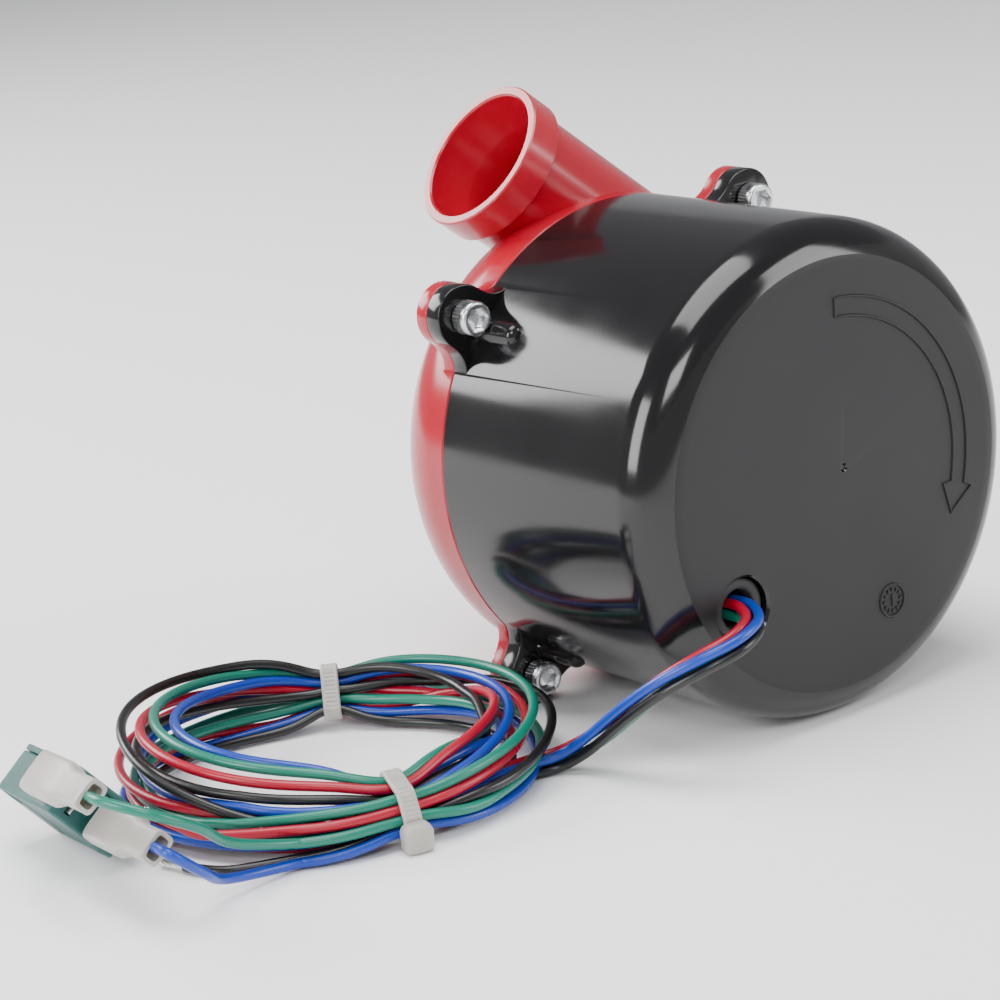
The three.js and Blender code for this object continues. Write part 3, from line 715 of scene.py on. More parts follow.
# ---------------------------------------------------------------------------
# Studio
# ---------------------------------------------------------------------------
@dataclass
class Studio:
    """Camera, pale floor and soft lights."""

    position: tuple[float, float, float] = (0.3909, 0.4548, 0.2120)
    azimuth: float = 142.87
    elevation: float = 15.95
    roll: float = -5.76
    lens: float = 107.81
    sensor: float = 36.0
    floor_radius: float = 3.2
    rim_height: float = 1.3
    floor_colour: tuple[float, float, float] = (0.94, 0.94, 0.94)
    world_colour: tuple[float, float, float] = (0.93, 0.95, 1.0)
    world_strength: float = 0.34
    aim: tuple[float, float, float] = (0.03, 0.0, 0.05)
    rim_share: float = 0.28

    def camera(self) -> None:
        """The camera, looking down on the blower from behind and to its side."""
        data = bpy.data.cameras.new("camera")
        data.lens = self.lens
        data.sensor_width = self.sensor
        camera = bpy.data.objects.new("camera", data)
        turn = (Matrix.Rotation(math.radians(self.azimuth), 4, "Z")
                @ Matrix.Rotation(math.radians(90 - self.elevation), 4, "X")
                @ Matrix.Rotation(math.radians(self.roll), 4, "Z"))
        camera.matrix_world = Matrix.Translation(self.position) @ turn
        bpy.context.scene.collection.objects.link(camera)
        bpy.context.scene.camera = camera

    def floor(self) -> None:
        """A round pale floor whose rim curves up all round."""
        rim = [(self.floor_radius * (1 - self.rim_share) + self.floor_radius * self.rim_share * math.sin(a),
                self.rim_height * (1 - math.cos(a))) for a in np.linspace(0, math.pi / 2, 12)]
        outline = [(self.floor_radius * share, 0.0) for share in (0.1, 0.3, 0.5)] + rim
        angles = loop_of_angles(96)
        rings = [np.array([(r * math.cos(a), r * math.sin(a), z) for a in angles]) for r, z in outline]
        piece = rings_to_piece("studio_floor", rings, caps=False)
        work = bmesh.new()
        work.from_mesh(piece.data)
        work.verts.ensure_lookup_table()
        work.faces.new([work.verts[i] for i in range(len(angles))])
        bmesh.ops.recalc_face_normals(work, faces=work.faces)
        work.to_mesh(piece.data)
        work.free()
        material = bpy.data.materials.new("studio_paper")
        material.use_nodes = True
        shader = material.node_tree.nodes["Principled BSDF"]
        shader.inputs["Base Color"].default_value = (*self.floor_colour, 1)
        shader.inputs["Roughness"].default_value = 0.9
        shader.inputs["Specular IOR Level"].default_value = 0.1
        piece.data.materials.append(material)

    def light(self, name: str, place: Sequence[float], size: tuple[float, float], power: float) -> None:
        """A soft box that faces the blower.

        Args:
            name: Name of the light.
            place: Where it stands, in metres.
            size: Width and height in metres.
            power: Watts.
        """
        data = bpy.data.lights.new(name, "AREA")
        data.shape = "RECTANGLE"
        data.size, data.size_y = size
        data.energy = power
        lamp = bpy.data.objects.new(name, data)
        lamp.location = place
        lamp.rotation_euler = (Vector(self.aim) - Vector(place)).to_track_quat("-Z", "Y").to_euler()
        bpy.context.scene.collection.objects.link(lamp)

    def lights(self) -> None:
        """Soft boxes above, to both sides and behind, and a pale sky."""
        self.light("top_box", (0.1, 0.0, 1.1), (0.9, 0.7), 15)
        self.light("left_box", (1.15, -0.05, 0.5), (0.5, 0.6), 11)
        self.light("right_box", (-0.75, 0.95, 0.6), (0.5, 0.8), 9)
        self.light("back_box", (0.42, -1.05, 0.62), (0.8, 0.5), 15)
        self.light("front_box", (0.75, 1.0, 0.95), (0.55, 0.35), 7)
        world = bpy.data.worlds.new("pale_sky")
        world.use_nodes = True
        sky = world.node_tree.nodes["Background"]
        sky.inputs["Color"].default_value = (*self.world_colour, 1)
        sky.inputs["Strength"].default_value = self.world_strength
        bpy.context.scene.world = world


# ---------------------------------------------------------------------------
# Wire harness
# ---------------------------------------------------------------------------
@dataclass(frozen=True)
class Turn:
    """One turn of one wire, as (radius, height above the ground) at four places round the coil.

    The last turn is cut short and has only its near place.
    """

    near: tuple[float, float]
    left: Optional[tuple[float, float]] = None
    far: Optional[tuple[float, float]] = None
    right: Optional[tuple[float, float]] = None

    def places(self) -> list[tuple[float, float]]:
        """The four places in the order that the wire passes them."""
        return [place for place in (self.near, self.left, self.far, self.right) if place is not None]


@dataclass(frozen=True)
class WireRun:
    """A wire's place in the leads, its turns in the coil and its tail to the switch."""

    colour: WireColour
    lay: tuple[float, float]
    entry: tuple[float, float]
    turns: tuple[Turn, ...]
    tail: tuple[tuple[float, float, float], ...]
    far_end: str


@dataclass
class CoilLay:
    """How the wires settle in the coil: each is drawn to its own turns and pushed off its neighbours.

    A wire is a row of (radius, height) pairs at equal steps round the coil. It runs clockwise seen from
    above, from the entry angle, past the near, left, far and right places of each turn, to the exit.
    """

    centre: tuple[float, float] = (87.0, 4.0)
    near_angle: float = 57.0
    entry_angle: float = 112.0
    exit_angle: float = 47.0
    step: float = 2.5
    wire_radius: float = 1.0
    gap: float = 0.04
    rounds: int = 260
    push_steps: int = 3
    push_share: float = 0.45
    lean: tuple[float, float] = (0.45, 0.7)
    pull: float = 0.03
    smoothing: float = 0.35
    squeeze: float = 0.05
    squeeze_width: float = 9.0
    tie_angles: tuple[float, float] = (234.0, 75.0)

    def stations(self, turns: int) -> np.ndarray:
        """Angles in degrees that a wire of so many full turns passes, falling from entry to exit."""
        total = self.entry_angle - self.exit_angle + 360 * turns
        return self.entry_angle - np.arange(0, total + self.step / 2, self.step)

    def targets(self, run: WireRun) -> np.ndarray:
        """Where a wire would lie with no neighbours.

        Args:
            run: The wire.

        Returns:
            Its (radius, height) at each station.
        """
        full = len(run.turns) - 1
        knots, places = [self.entry_angle], [run.entry]
        for i, turn in enumerate(run.turns):
            for j, place in enumerate(turn.places()):
                knots.append(self.near_angle - 360 * i - 90 * j)
                places.append(place)
        angles = self.stations(full)
        route = np.array(places)
        at = np.interp(-angles, -np.array(knots), np.arange(len(knots)))
        low = np.clip(at.astype(int), 0, len(knots) - 2)
        t = (at - low)[:, None]
        before, after = np.maximum(low - 1, 0), np.minimum(low + 2, len(knots) - 1)
        a, b, c, d = route[before], route[low], route[low + 1], route[after]
        return 0.5 * (2 * b + (c - a) * t + (2 * a - 5 * b + 4 * c - d) * t ** 2
                      + (3 * b - a - 3 * c + d) * t ** 3)

    def settle(self, runs: Sequence[WireRun]) -> dict[WireColour, np.ndarray]:
        """Relaxes all the wires together.

        Args:
            runs: The wires.

        Returns:
            For each wire its stations as rows of (angle, radius, height).
        """
        full = len(runs[0].turns) - 1
        angles = self.stations(full)
        goal = np.stack([self.targets(run) for run in runs])
        per_turn = int(round(360 / self.step))
        lanes = -(-len(angles) // per_turn)
        padded = np.full((len(runs), lanes * per_turn, 2), np.nan)
        padded[:, :len(angles)] = goal
        least = 2 * self.wire_radius + self.gap
        count = len(runs) * lanes
        first, second = np.triu_indices(count, 1)
        tie_pull = self._tie_pull(angles, per_turn)
        out, up = self.lean
        bias = np.stack([np.full(len(first), out), np.where((first + second) % 2, up, -up)], 1)
        wires = padded.copy()
        for _round in range(self.rounds):
            line = wires[:, :len(angles)]
            inner = line[:, 1:-1]
            inner += self.smoothing * (line[:, :-2] + line[:, 2:] - 2 * inner)
            line[:, 1:-1] += self.pull * (goal - line)[:, 1:-1]
            lane_view = wires.reshape(count, per_turn, 2)
            middle = np.nanmean(lane_view, axis=0)
            lane_view += tie_pull[None, :, None] * (middle - lane_view)
            for _step in range(self.push_steps):
                self._push_apart(lane_view, first, second, bias, least)
                low, floor = lane_view[:, :, 1], self.wire_radius + self.gap
                lane_view[:, :, 1] = np.where(low < floor, floor, low)
                wires[:, 0], wires[:, len(angles) - 1] = goal[:, 0], goal[:, -1]
        return {run.colour: np.column_stack([angles, wires[i, :len(angles)]])
                for i, run in enumerate(runs)}

    def _tie_pull(self, angles: np.ndarray, per_turn: int) -> np.ndarray:
        """How strongly the strands are drawn together, which is near a tie only.

        Args:
            angles: Angles of a wire's stations.
            per_turn: Number of stations in a turn.

        Returns:
            The pull at each station of a turn.
        """
        at = angles[:1] - np.arange(per_turn) * self.step
        pull = np.zeros(per_turn)
        for tie in self.tie_angles:
            away = (at - tie + 180) % 360 - 180
            pull += self.squeeze * np.exp(-(away / self.squeeze_width) ** 2)
        return pull

    def _push_apart(self, lanes: np.ndarray, first: np.ndarray, second: np.ndarray,
                    bias: np.ndarray, least: float) -> None:
        """Moves each pair of strands that lie too near each other apart, at every station.

        Args:
            lanes: Strands by station, as (radius, height).
            first: Number of each pair's first strand.
            second: Number of each pair's second strand.
            bias: The way each pair parts where the two lie in one place.
            least: Distance that they keep.
        """
        between = lanes[first] - lanes[second]
        apart = np.linalg.norm(between, axis=2)
        leaning = between + 0.5 * bias[:, None, :]
        way = leaning / np.maximum(np.linalg.norm(leaning, axis=2), 1e-6)[:, :, None]
        depth = np.nan_to_num(np.clip(least - apart, 0, None) * self.push_share)
        push = depth[:, :, None] * np.nan_to_num(way)
        shift = np.zeros_like(lanes)
        np.add.at(shift, first, push)
        np.subtract.at(shift, second, push)
        lanes += shift

    def place(self, rows: np.ndarray, ground: float) -> np.ndarray:
        """Turns a wire's rows into points.

        Args:
            rows: (angle, radius, height) at each station.
            ground: Height of the ground in blower millimetres.

        Returns:
            Points in blower millimetres.
        """
        angle = np.radians(rows[:, 0])
        return np.stack([self.centre[0] + rows[:, 1] * np.cos(angle),
                         self.centre[1] + rows[:, 1] * np.sin(angle), ground + rows[:, 2]], 1)


@dataclass
class Harness:
    """Four wires that leave the can, lie in a coil held by two ties and run on to the switch."""

    datum: Datum
    paint: Paint
    coil: CoilLay = field(default_factory=CoilLay)
    wire_diameter: float = 2.0
    pitch: float = 2.35
    spacing: float = 1.6
    tie_width: float = 3.6
    tie_thick: float = 1.1
    ridge_pitch: float = 0.85
    ridge_height: float = 0.16
    tie_step: float = 0.2
    lock_size: tuple[float, float] = (4.4, 5.8)
    lock_height: float = 5.6
    settled: dict = field(default_factory=dict)
    pieces: dict = field(default_factory=dict)
    lead_route: tuple = (
        (28.11, 57, -19.83), (28.31, 63, -19.83), (31.2, 68.2, -20.6), (37.2, 70, -22.2),
        (43.8, 67.6, -24.6), (48.6, 62, -28.6), (50.6, 55.4, -33.6), (51.4, 49.6, -38.2), (52, 45.6, -41.4))
    landing_route: tuple = ((53.6, 41.2, -44.8), (57.0, 37.4, -47.2), (63.0, 35.2, -47.7))

    def runs(self) -> list[WireRun]:
        """The four wires, with the lay of each turn from the leads to the tails.

        Returns:
            One run for each wire.
        """
        return [
            WireRun(WireColour.BLUE, (-0.5, 0.5), (35.2, 3.5), (
                Turn((40.0, 3.2), (41.0, 3.4), (28.5, 2.2), (34.0, 7.0)),
                Turn((29.0, 13.9), (29.5, 16.0), (34.0, 10.6), (35.5, 12.3)),
                Turn((38.5, 8.8), (37.0, 9.5), (38.0, 6.5), (40.0, 2.5)),
                Turn((44.2, 1.4))), (
                (134.5, 37.2, -45.6), (141.5, 42.3, -40.6), (148.24, 42.81, -34.64),
                (146.56, 32.32, -35.91)), "connector"),
            WireRun(WireColour.RED, (0.5, 0.5), (32.8, 3.5), (
                Turn((37.6, 1.2), (39.5, 5.4), (30.0, 1.2), (33.0, 13.2)),
                Turn((33.3, 12.1), (36.5, 16.2), (32.5, 8.4), (35.5, 6.0)),
                Turn((36.8, 7.4), (41.5, 9.5), (35.0, 9.6), (38.5, 10.3)),
                Turn((42.6, 7.2))), (
                (129.5, 22.2, -42.6), (131.9, 18.9, -41.0), (133.4, 15.5, -39.9)), "bare"),
            WireRun(WireColour.GREEN, (0.5, -0.5), (32.8, 1.15), (
                Turn((36.2, 3.3), (37.0, 6.5), (30.0, 4.4), (31.5, 9.5)),
                Turn((31.5, 13.9), (33.5, 17.6), (34.8, 12.8), (40.5, 12.8)),
                Turn((40.6, 9.2), (38.5, 5.5), (38.0, 4.5), (41.0, 5.0)),
                Turn((44.4, 5.3))), (
                (132.0, 36.8, -39.5), (140.5, 40.6, -32.8), (149.2, 40.2, -27.6), (154.28, 32.58, -25.44),
                (152.63, 22.28, -26.68)), "connector"),
            WireRun(WireColour.BLACK, (-0.5, -0.5), (35.2, 1.15), (
                Turn((33.8, 1.2), (38.0, 2.0), (26.0, 1.2), (35.0, 2.5)),
                Turn((38.4, 5.2), (40.0, 17.2), (33.0, 13.8), (31.5, 9.8)),
                Turn((35.9, 10.4), (37.5, 12.8), (30.5, 7.2), (43.8, 10.5)),
                Turn((42.3, 1.6))), (
                (128, 28.2, -48.7), (130.8, 24, -48.7), (132.2, 19.8, -48.7)), "bare"),
        ]

    def shifted(self, route: Sequence, lay: tuple[float, float]) -> list[Vector]:
        """A route moved across and up from the middle line of the leads.

        Args:
            route: Points of the middle line in blower millimetres.
            lay: Shares of the pitch, across and up.

        Returns:
            The wire's own points.
        """
        points = [Vector(p) for p in route]
        moved = []
        for i, point in enumerate(points):
            along = (points[min(i + 1, len(points) - 1)] - points[max(i - 1, 0)]).normalized()
            side = along.cross(Vector((0, 0, 1))).normalized()
            lift = side.cross(along)
            moved.append(point + side * lay[0] * self.pitch + lift * lay[1] * self.pitch)
        return moved

    def make_wires(self) -> None:
        """Lays each wire from the grommet to its far end."""
        runs = self.runs()
        self.settled = self.coil.settle(runs)
        for run in runs:
            rows = self.settled[run.colour]
            turns = self.coil.place(rows, self.datum.ground)
            lead = self.shifted(self.lead_route + self.landing_route, run.lay)
            start = smooth_line([*lead, turns[0], turns[2]], self.spacing)
            end = smooth_line([turns[-3], turns[-1], *run.tail], self.spacing)
            line = np.vstack([self._until(start, turns[0]), turns, self._after(end, turns[-1])])
            self.pieces[run.colour] = self._wire(run, line)

    @staticmethod
    def _until(line: np.ndarray, point: np.ndarray) -> np.ndarray:
        """The part of a line before a point on it."""
        return line[:int(np.argmin(np.linalg.norm(line - point, axis=1)))]

    @staticmethod
    def _after(line: np.ndarray, point: np.ndarray) -> np.ndarray:
        """The part of a line after a point on it."""
        return line[int(np.argmin(np.linalg.norm(line - point, axis=1))) + 1:]

    def _wire(self, run: WireRun, line: np.ndarray) -> Piece:
        """Makes one wire as a round curve.

        Args:
            run: The wire.
            line: Its middle line in blower millimetres.

        Returns:
            The linked object.
        """
        name = f"wire_{run.colour.value}"
        curve = bpy.data.curves.new(name, "CURVE")
        curve.dimensions = "3D"
        curve.bevel_depth = self.wire_diameter / 2 * MM
        curve.bevel_resolution = 5
        curve.resolution_u = 2
        curve.use_fill_caps = True
        points = self.datum.points(line)
        spline = curve.splines.new("BEZIER")
        spline.bezier_points.add(len(points) - 1)
        for knot, point in zip(spline.bezier_points, points):
            knot.co = point
            knot.handle_left_type = knot.handle_right_type = "AUTO"
        wire = bpy.data.objects.new(name, curve)
        bpy.context.scene.collection.objects.link(wire)
        self.paint.dress(wire, WIRE_FINISH[run.colour])
        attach(wire, HOUSING)
        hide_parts(f"lead_{run.colour.value}", f"tail_{run.colour.value}", "wire_coil")
        return wire

    def declare(self, ends: dict) -> None:
        """Args:
            ends: For each colour the pieces that its wire ends in.
        """
        for run in self.runs():
            wire = self.pieces[run.colour]
            points = np.array([p.co for p in wire.data.splines[0].bezier_points])
            length = float(np.linalg.norm(np.diff(points, axis=0), axis=1).sum())
            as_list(ends[run.colour])
            LOG.info("%s: %.3f m", wire.name, length)

    def bundle(self, angle: float) -> np.ndarray:
        """The strands that pass an angle of the coil.

        Args:
            angle: Place round the coil in degrees.

        Returns:
            (radius, height) of each strand.
        """
        strands = []
        for rows in self.settled.values():
            turn_of = (rows[:, 0] - angle) % 360
            near = np.flatnonzero(np.minimum(turn_of, 360 - turn_of) <= self.coil.step / 2 + 1e-6)
            for group in np.split(near, np.flatnonzero(np.diff(near) > 1) + 1):
                if len(group):
                    strands.append(rows[group[0], 1:])
        return np.array(strands)

    def tie_path(self, angle: float, steps: int = 160) -> np.ndarray:
        """The closed line that a tie's band follows tightly round the strands.

        Args:
            angle: Place round the coil in degrees.
            steps: Number of ways in which the bundle's reach is measured.

        Returns:
            Points as (radius, height), evenly spaced.
        """
        strands = self.bundle(angle)
        reach = self.wire_diameter / 2 + self.tie_thick / 2 + 0.12
        ways = loop_of_angles(steps)
        unit = np.stack([np.cos(ways), np.sin(ways)], 1)
        support = (unit @ strands.T).argmax(1)
        corner = strands[support] + unit * reach
        closed = np.vstack([corner, corner[:1]])
        along = np.concatenate([[0], np.cumsum(np.linalg.norm(np.diff(closed, axis=0), axis=1))])
        even = np.linspace(0, along[-1], int(along[-1] / self.tie_step), endpoint=False)
        path = np.stack([np.interp(even, along, closed[:, k]) for k in (0, 1)], 1)
        path[:, 1] = np.maximum(path[:, 1], self.tie_thick / 2 + 0.05)
        return path

    def make_tie(self, number: int, angle: float) -> Piece:
        """A ridged nylon tie drawn tight round the strands, with its lock low on the outside.

        Args:
            number: Which tie.
            angle: Where it is round the coil, in degrees.

        Returns:
            The piece.
        """
        path = self.tie_path(angle)
        turn = math.radians(angle)
        outward = np.array([math.cos(turn), math.sin(turn), 0])
        across = np.array([-math.sin(turn), math.cos(turn), 0])
        base = np.array([*self.coil.centre, self.datum.ground])

        def put(radius: float, height: float, side: float) -> np.ndarray:
            """A point of the tie in blower millimetres."""
            return base + outward * radius + np.array([0, 0, height]) + across * side

        rings = []
        count = len(path)
        half, inner, outer = self.tie_width / 2, -self.tie_thick / 2, self.tie_thick / 2
        for i, (radius, height) in enumerate(path):
            ahead, behind = path[(i + 1) % count], path[i - 1]
            along = (ahead - behind) / np.linalg.norm(ahead - behind)
            normal = np.array([along[1], -along[0]])
            wave = math.sin(FULL_TURN * i * self.tie_step / self.ridge_pitch)
            ridge = self.ridge_height * max(0.0, wave) ** 0.5
            section = [(inner, -half + 0.2), (inner, half - 0.2), (inner + 0.2, half), (outer - 0.25, half),
                       (outer, half - 0.3), (outer, half - 0.75), (outer - ridge, half - 0.8),
                       (outer - ridge, 0.8 - half), (outer, 0.75 - half), (outer, 0.3 - half),
                       (outer - 0.25, -half), (inner + 0.2, -half)]
            rings.append(self.datum.points([put(radius + normal[0] * out, height + normal[1] * out, side)
                                            for out, side in section]))
        band = rings_to_piece("band", rings, closed=True, sharp=50)
        lock = self._tie_lock(path, put)
        tie = merge_pieces(f"tie_{number}", [band, lock])
        self.paint.dress(tie, NYLON)
        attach(tie, HOUSING)
        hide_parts(f"cable_tie_{number}")
        return tie

    def _tie_lock(self, path: np.ndarray, put: Callable) -> Piece:
        """The rounded lock of a tie, low on its outside.

        Args:
            path: The band's closed line.
            put: Places a radius, a height and a distance across the band.

        Returns:
            The linked object.
        """
        outer = path[np.argmax(path[:, 0] - 0.9 * path[:, 1])]
        size, height = self.lock_size, self.lock_height
        rings = []
        for level, grow in ((0.0, -0.9), (0.5, -0.3), (1.2, 0.0), (height - 1.4, 0.05),
                            (height - 0.5, -0.35), (height, -1.0)):
            half_out, half_side = size[0] / 2 + grow, size[1] / 2 + grow
            ways = loop_of_angles(32)
            outline = [(half_out * squared(math.cos(a), 0.5), half_side * squared(math.sin(a), 0.5))
                       for a in ways]
            rings.append(self.datum.points(
                [put(outer[0] + size[0] / 2 - 0.2 + u, 0.15 + level, v) for u, v in outline]))
        return rings_to_piece("lock", rings)

    def make_ties(self) -> list[Piece]:
        """Both ties."""
        return [self.make_tie(i + 1, angle) for i, angle in enumerate(self.coil.tie_angles)]


def build_stage_and_wires() -> tuple[Datum, Paint, Harness]:
    """Makes the camera, floor and lights, and the wires.

    Returns:
        The datum, the paint and the harness that the other pieces need.
    """
    datum, paint = Datum.from_frame(), Paint()
    studio = Studio()
    studio.camera()
    studio.floor()
    studio.lights()
    harness = Harness(datum, paint)
    harness.make_wires()
    return datum, paint, harness


# ---------------------------------------------------------------------------
# Can, cover and what holds them together
# ---------------------------------------------------------------------------
@dataclass(frozen=True)
class LugSizes:
    """The four ears that can and cover share, in millimetres and degrees."""

    circle: float = 55.5
    radius: float = 6.5
    count: int = 4
    first: float = 38.4
    can_thick: float = 4.0
    cover_thick: float = 3.3
    hole: float = 2.3

    def angles(self) -> list[float]:
        """The ears' angles from +X towards +Z, in degrees."""
        return [self.first + 360 / self.count * i for i in range(self.count)]

    def centre(self, angle: float, circle: Optional[float] = None) -> tuple[float, float]:
        """X and Z of the point at an angle on the lug circle, or on another circle."""
        reach = self.circle if circle is None else circle
        return reach * math.cos(math.radians(angle)), reach * math.sin(math.radians(angle))

    def outline(self, angle: float, rim: float) -> list[tuple[float, float]]:
        """An ear's outline with a neck that flares into the rim.

        Args:
            angle: Where the ear is.
            rim: Radius that its foot starts inside.

        Returns:
            Points in X and Z.
        """
        foot = self.radius * 1.6
        start, bend, end = (rim - 1.25, -foot), (rim + 0.4, -self.radius), (self.circle, -self.radius)
        neck = []
        for t in np.linspace(0, 1, 9):
            keep, turn, reach = (1 - t) ** 2, 2 * t * (1 - t), t * t
            neck.append(tuple(keep * s + turn * b + reach * e for s, b, e in zip(start, bend, end)))
        tip = quarter((self.circle, 0), (self.radius, self.radius), -90, 90, 18)[1:-1]
        points = neck + tip + [(x, -z) for x, z in reversed(neck)]
        cos, sin = math.cos(math.radians(angle)), math.sin(math.radians(angle))
        return [(x * cos - z * sin, x * sin + z * cos) for x, z in points]


@dataclass
class MotorCan:
    """The black can: a deep cup with four ears, stops for the screws and a hole for the wires."""

    datum: Datum
    paint: Paint
    lugs: LugSizes
    wall: float = 2.5
    back_fillet: float = 9.2
    rim_edge: float = 0.35
    segments: int = 176
    nub_radius: float = 2.55
    nub_reach: float = 15.0
    nub_circle: float = 49.1
    hole_circle: float = 34.4
    hole_angle: float = -35.2
    hole_radius: float = 6.5
    mark_height: float = 0.35
    mark_width: float = 0.55
    arrow_outer: float = 35.2
    arrow_inner: float = 31.4
    arrow_ends: tuple[float, float] = (92, 196)
    dial_radius: float = 3.3
    satin_depth: float = 0.25

    def build(self) -> Piece:
        """Builds and dresses the can.

        Returns:
            The piece.
        """
        radius, length = self.datum.axis_z / MM, self.datum.length
        inner = radius - self.wall
        bend = (radius - self.back_fillet, length - self.back_fillet)
        outer_bend = quarter(bend, (self.back_fillet, self.back_fillet), 0, 90, 18)
        inner_bend = quarter(bend, (self.back_fillet - self.wall,) * 2, 90, 0, 8)
        flat = [(bend[0] * share, length) for share in (0.75, 0.5, 0.25)]
        profile = ([(0, length - self.wall)] + inner_bend + [(inner, 0), (radius - self.rim_edge, 0),
                   (radius, self.rim_edge)] + outer_bend + flat + [(0, length)])
        can = about_y("motor_can", profile, self.segments, self.datum)
        ears = []
        for angle in self.lugs.angles():
            outline = self.lugs.outline(angle, radius)
            ears.append(soften(prism("ear", outline, 0.0, self.lugs.can_thick, self.datum), 0.55))
            ears.append(self._nub(angle))
        combine(can, [self._trimmed(ear, inner) for ear in ears], "UNION")
        holes = [self._rod("screw_hole", self.lugs.hole, -2, self.lugs.can_thick + 2, self.lugs.centre(a))
                 for a in self.lugs.angles()]
        lip = self.hole_radius + 0.7
        wire_hole = about_y("wire_hole", [(0, length - 8), (self.hole_radius, length - 8),
                                          (self.hole_radius, length - 0.5), (lip, length + 0.2),
                                          (lip, length + 3), (0, length + 3)], 72, self.datum,
                            self.lugs.centre(self.hole_angle, self.hole_circle))
        gate = about_y("gate", [(0, length - 0.7), (0.5, length - 0.6), (0.95, length + 0.05),
                                (0.95, length + 1), (0, length + 1)], 28, self.datum, (-0.9, 1.4))
        combine(can, holes + [wire_hole, gate], "DIFFERENCE")
        can = merge_pieces("motor_can", [can] + self._marks(length))
        self.paint.dress(can, CAN_GLOSS, CAN_SATIN)
        self._satin_back(can)
        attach(can, HOUSING)
        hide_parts("rear_motor_can")
        return can

    def _rod(self, name: str, radius: float, low: float, high: float,
             centre: tuple[float, float]) -> Piece:
        """A round bar along Y, from low to high."""
        return about_y(name, [(0, low), (radius, low), (radius, high), (0, high)], 40, self.datum, centre)

    def _nub(self, angle: float) -> Piece:
        """A moulded stop that runs back from an ear, with a rounded end.

        Args:
            angle: Where the ear is, in degrees.

        Returns:
            The linked object.
        """
        end = quarter((0, self.nub_reach - 1.6), (self.nub_radius, 1.6), 0, 90, 6)[:-1]
        profile = [(0, 1.0), (self.nub_radius + 0.5, 1.0), (self.nub_radius + 0.5, self.lugs.can_thick),
                   (self.nub_radius + 0.15, self.lugs.can_thick + 0.6), *end, (0, self.nub_reach)]
        return about_y("nub", profile, 36, self.datum, self.lugs.centre(angle, self.nub_circle))

    def _trimmed(self, piece: Piece, inner: float) -> Piece:
        """Cuts off what of a piece would stand inside the can."""
        core = about_y("core", [(0, -2), (inner + 0.6, -2), (inner + 0.6, 30), (0, 30)], 88, self.datum)
        return combine(piece, [core], "DIFFERENCE")

    def _ribbon(self, name: str, line: Sequence[tuple[float, float]], closed: bool,
                length: float) -> Piece:
        """A low raised line on the back face.

        Args:
            name: Name of the object.
            line: Points in X and Z.
            closed: Whether the line joins its own start.
            length: Y of the back face in blower millimetres.

        Returns:
            The linked object.
        """
        points = [np.array(p) for p in line]
        rings = []
        for i, point in enumerate(points):
            ahead = points[(i + 1) % len(points)] if closed else points[min(i + 1, len(points) - 1)]
            behind = points[i - 1] if closed or i else points[0]
            along = (ahead - behind) / max(np.linalg.norm(ahead - behind), 1e-9)
            side = np.array([-along[1], along[0]])
            foot, top = self.mark_width / 2, self.mark_width / 2 - 0.14
            section = [(-foot, -0.15), (-foot, 0.05), (-top, self.mark_height), (top, self.mark_height),
                       (foot, 0.05), (foot, -0.15)]
            rings.append(self.datum.points(
                [((point + side * s)[0], length + h, (point + side * s)[1]) for s, h in section]))
        return rings_to_piece(name, rings, closed=closed, sharp=25)

    def _marks(self, length: float) -> list[Piece]:
        """A rotation arrow and a mould date dial, raised on the back face.

        Args:
            length: Y of the back face in blower millimetres.

        Returns:
            The raised lines.
        """
        marks = []
        start, end = self.arrow_ends

        def polar(radius: float, angle: float) -> tuple[float, float]:
            """X and Z from a radius and an angle in degrees."""
            return radius * math.cos(math.radians(angle)), radius * math.sin(math.radians(angle))

        outer = [polar(self.arrow_outer, a) for a in np.linspace(start, end, 60)]
        inner = [polar(self.arrow_inner, a) for a in np.linspace(end, start, 60)]
        head = [polar(37.4, 197), polar(33.3, 207), polar(29.2, 197)]
        marks.append(self._ribbon("arrow", outer + head + inner, True, length))
        dial = self.lugs.centre(-112.0, 31.0)
        ring = [(dial[0] + self.dial_radius * math.cos(a), dial[1] + self.dial_radius * math.sin(a))
                for a in loop_of_angles(48)]
        marks.append(self._ribbon("dial_ring", ring, True, length))
        for i in range(12):
            way = np.array([math.cos(math.pi / 6 * i), math.sin(math.pi / 6 * i)])
            tick = [tuple(np.array(dial) + way * 1.9), tuple(np.array(dial) + way * 2.6)]
            marks.append(self._ribbon("dial_tick", tick, False, length))
        pointer = [(dial[0], dial[1] - 1.2), (dial[0], dial[1] + 1.2)]
        marks.append(self._ribbon("dial_pointer", pointer, False, length))
        return marks

    def _satin_back(self, can: Piece) -> None:
        """Gives the flat back its satin finish.

        Args:
            can: The can.
        """
        edge = self.datum.back_y - self.satin_depth * MM
        for face in can.data.polygons:
            if face.center.y > edge and (face.normal.y > 0.9 or face.center.y > self.datum.back_y):
                face.material_index = 1


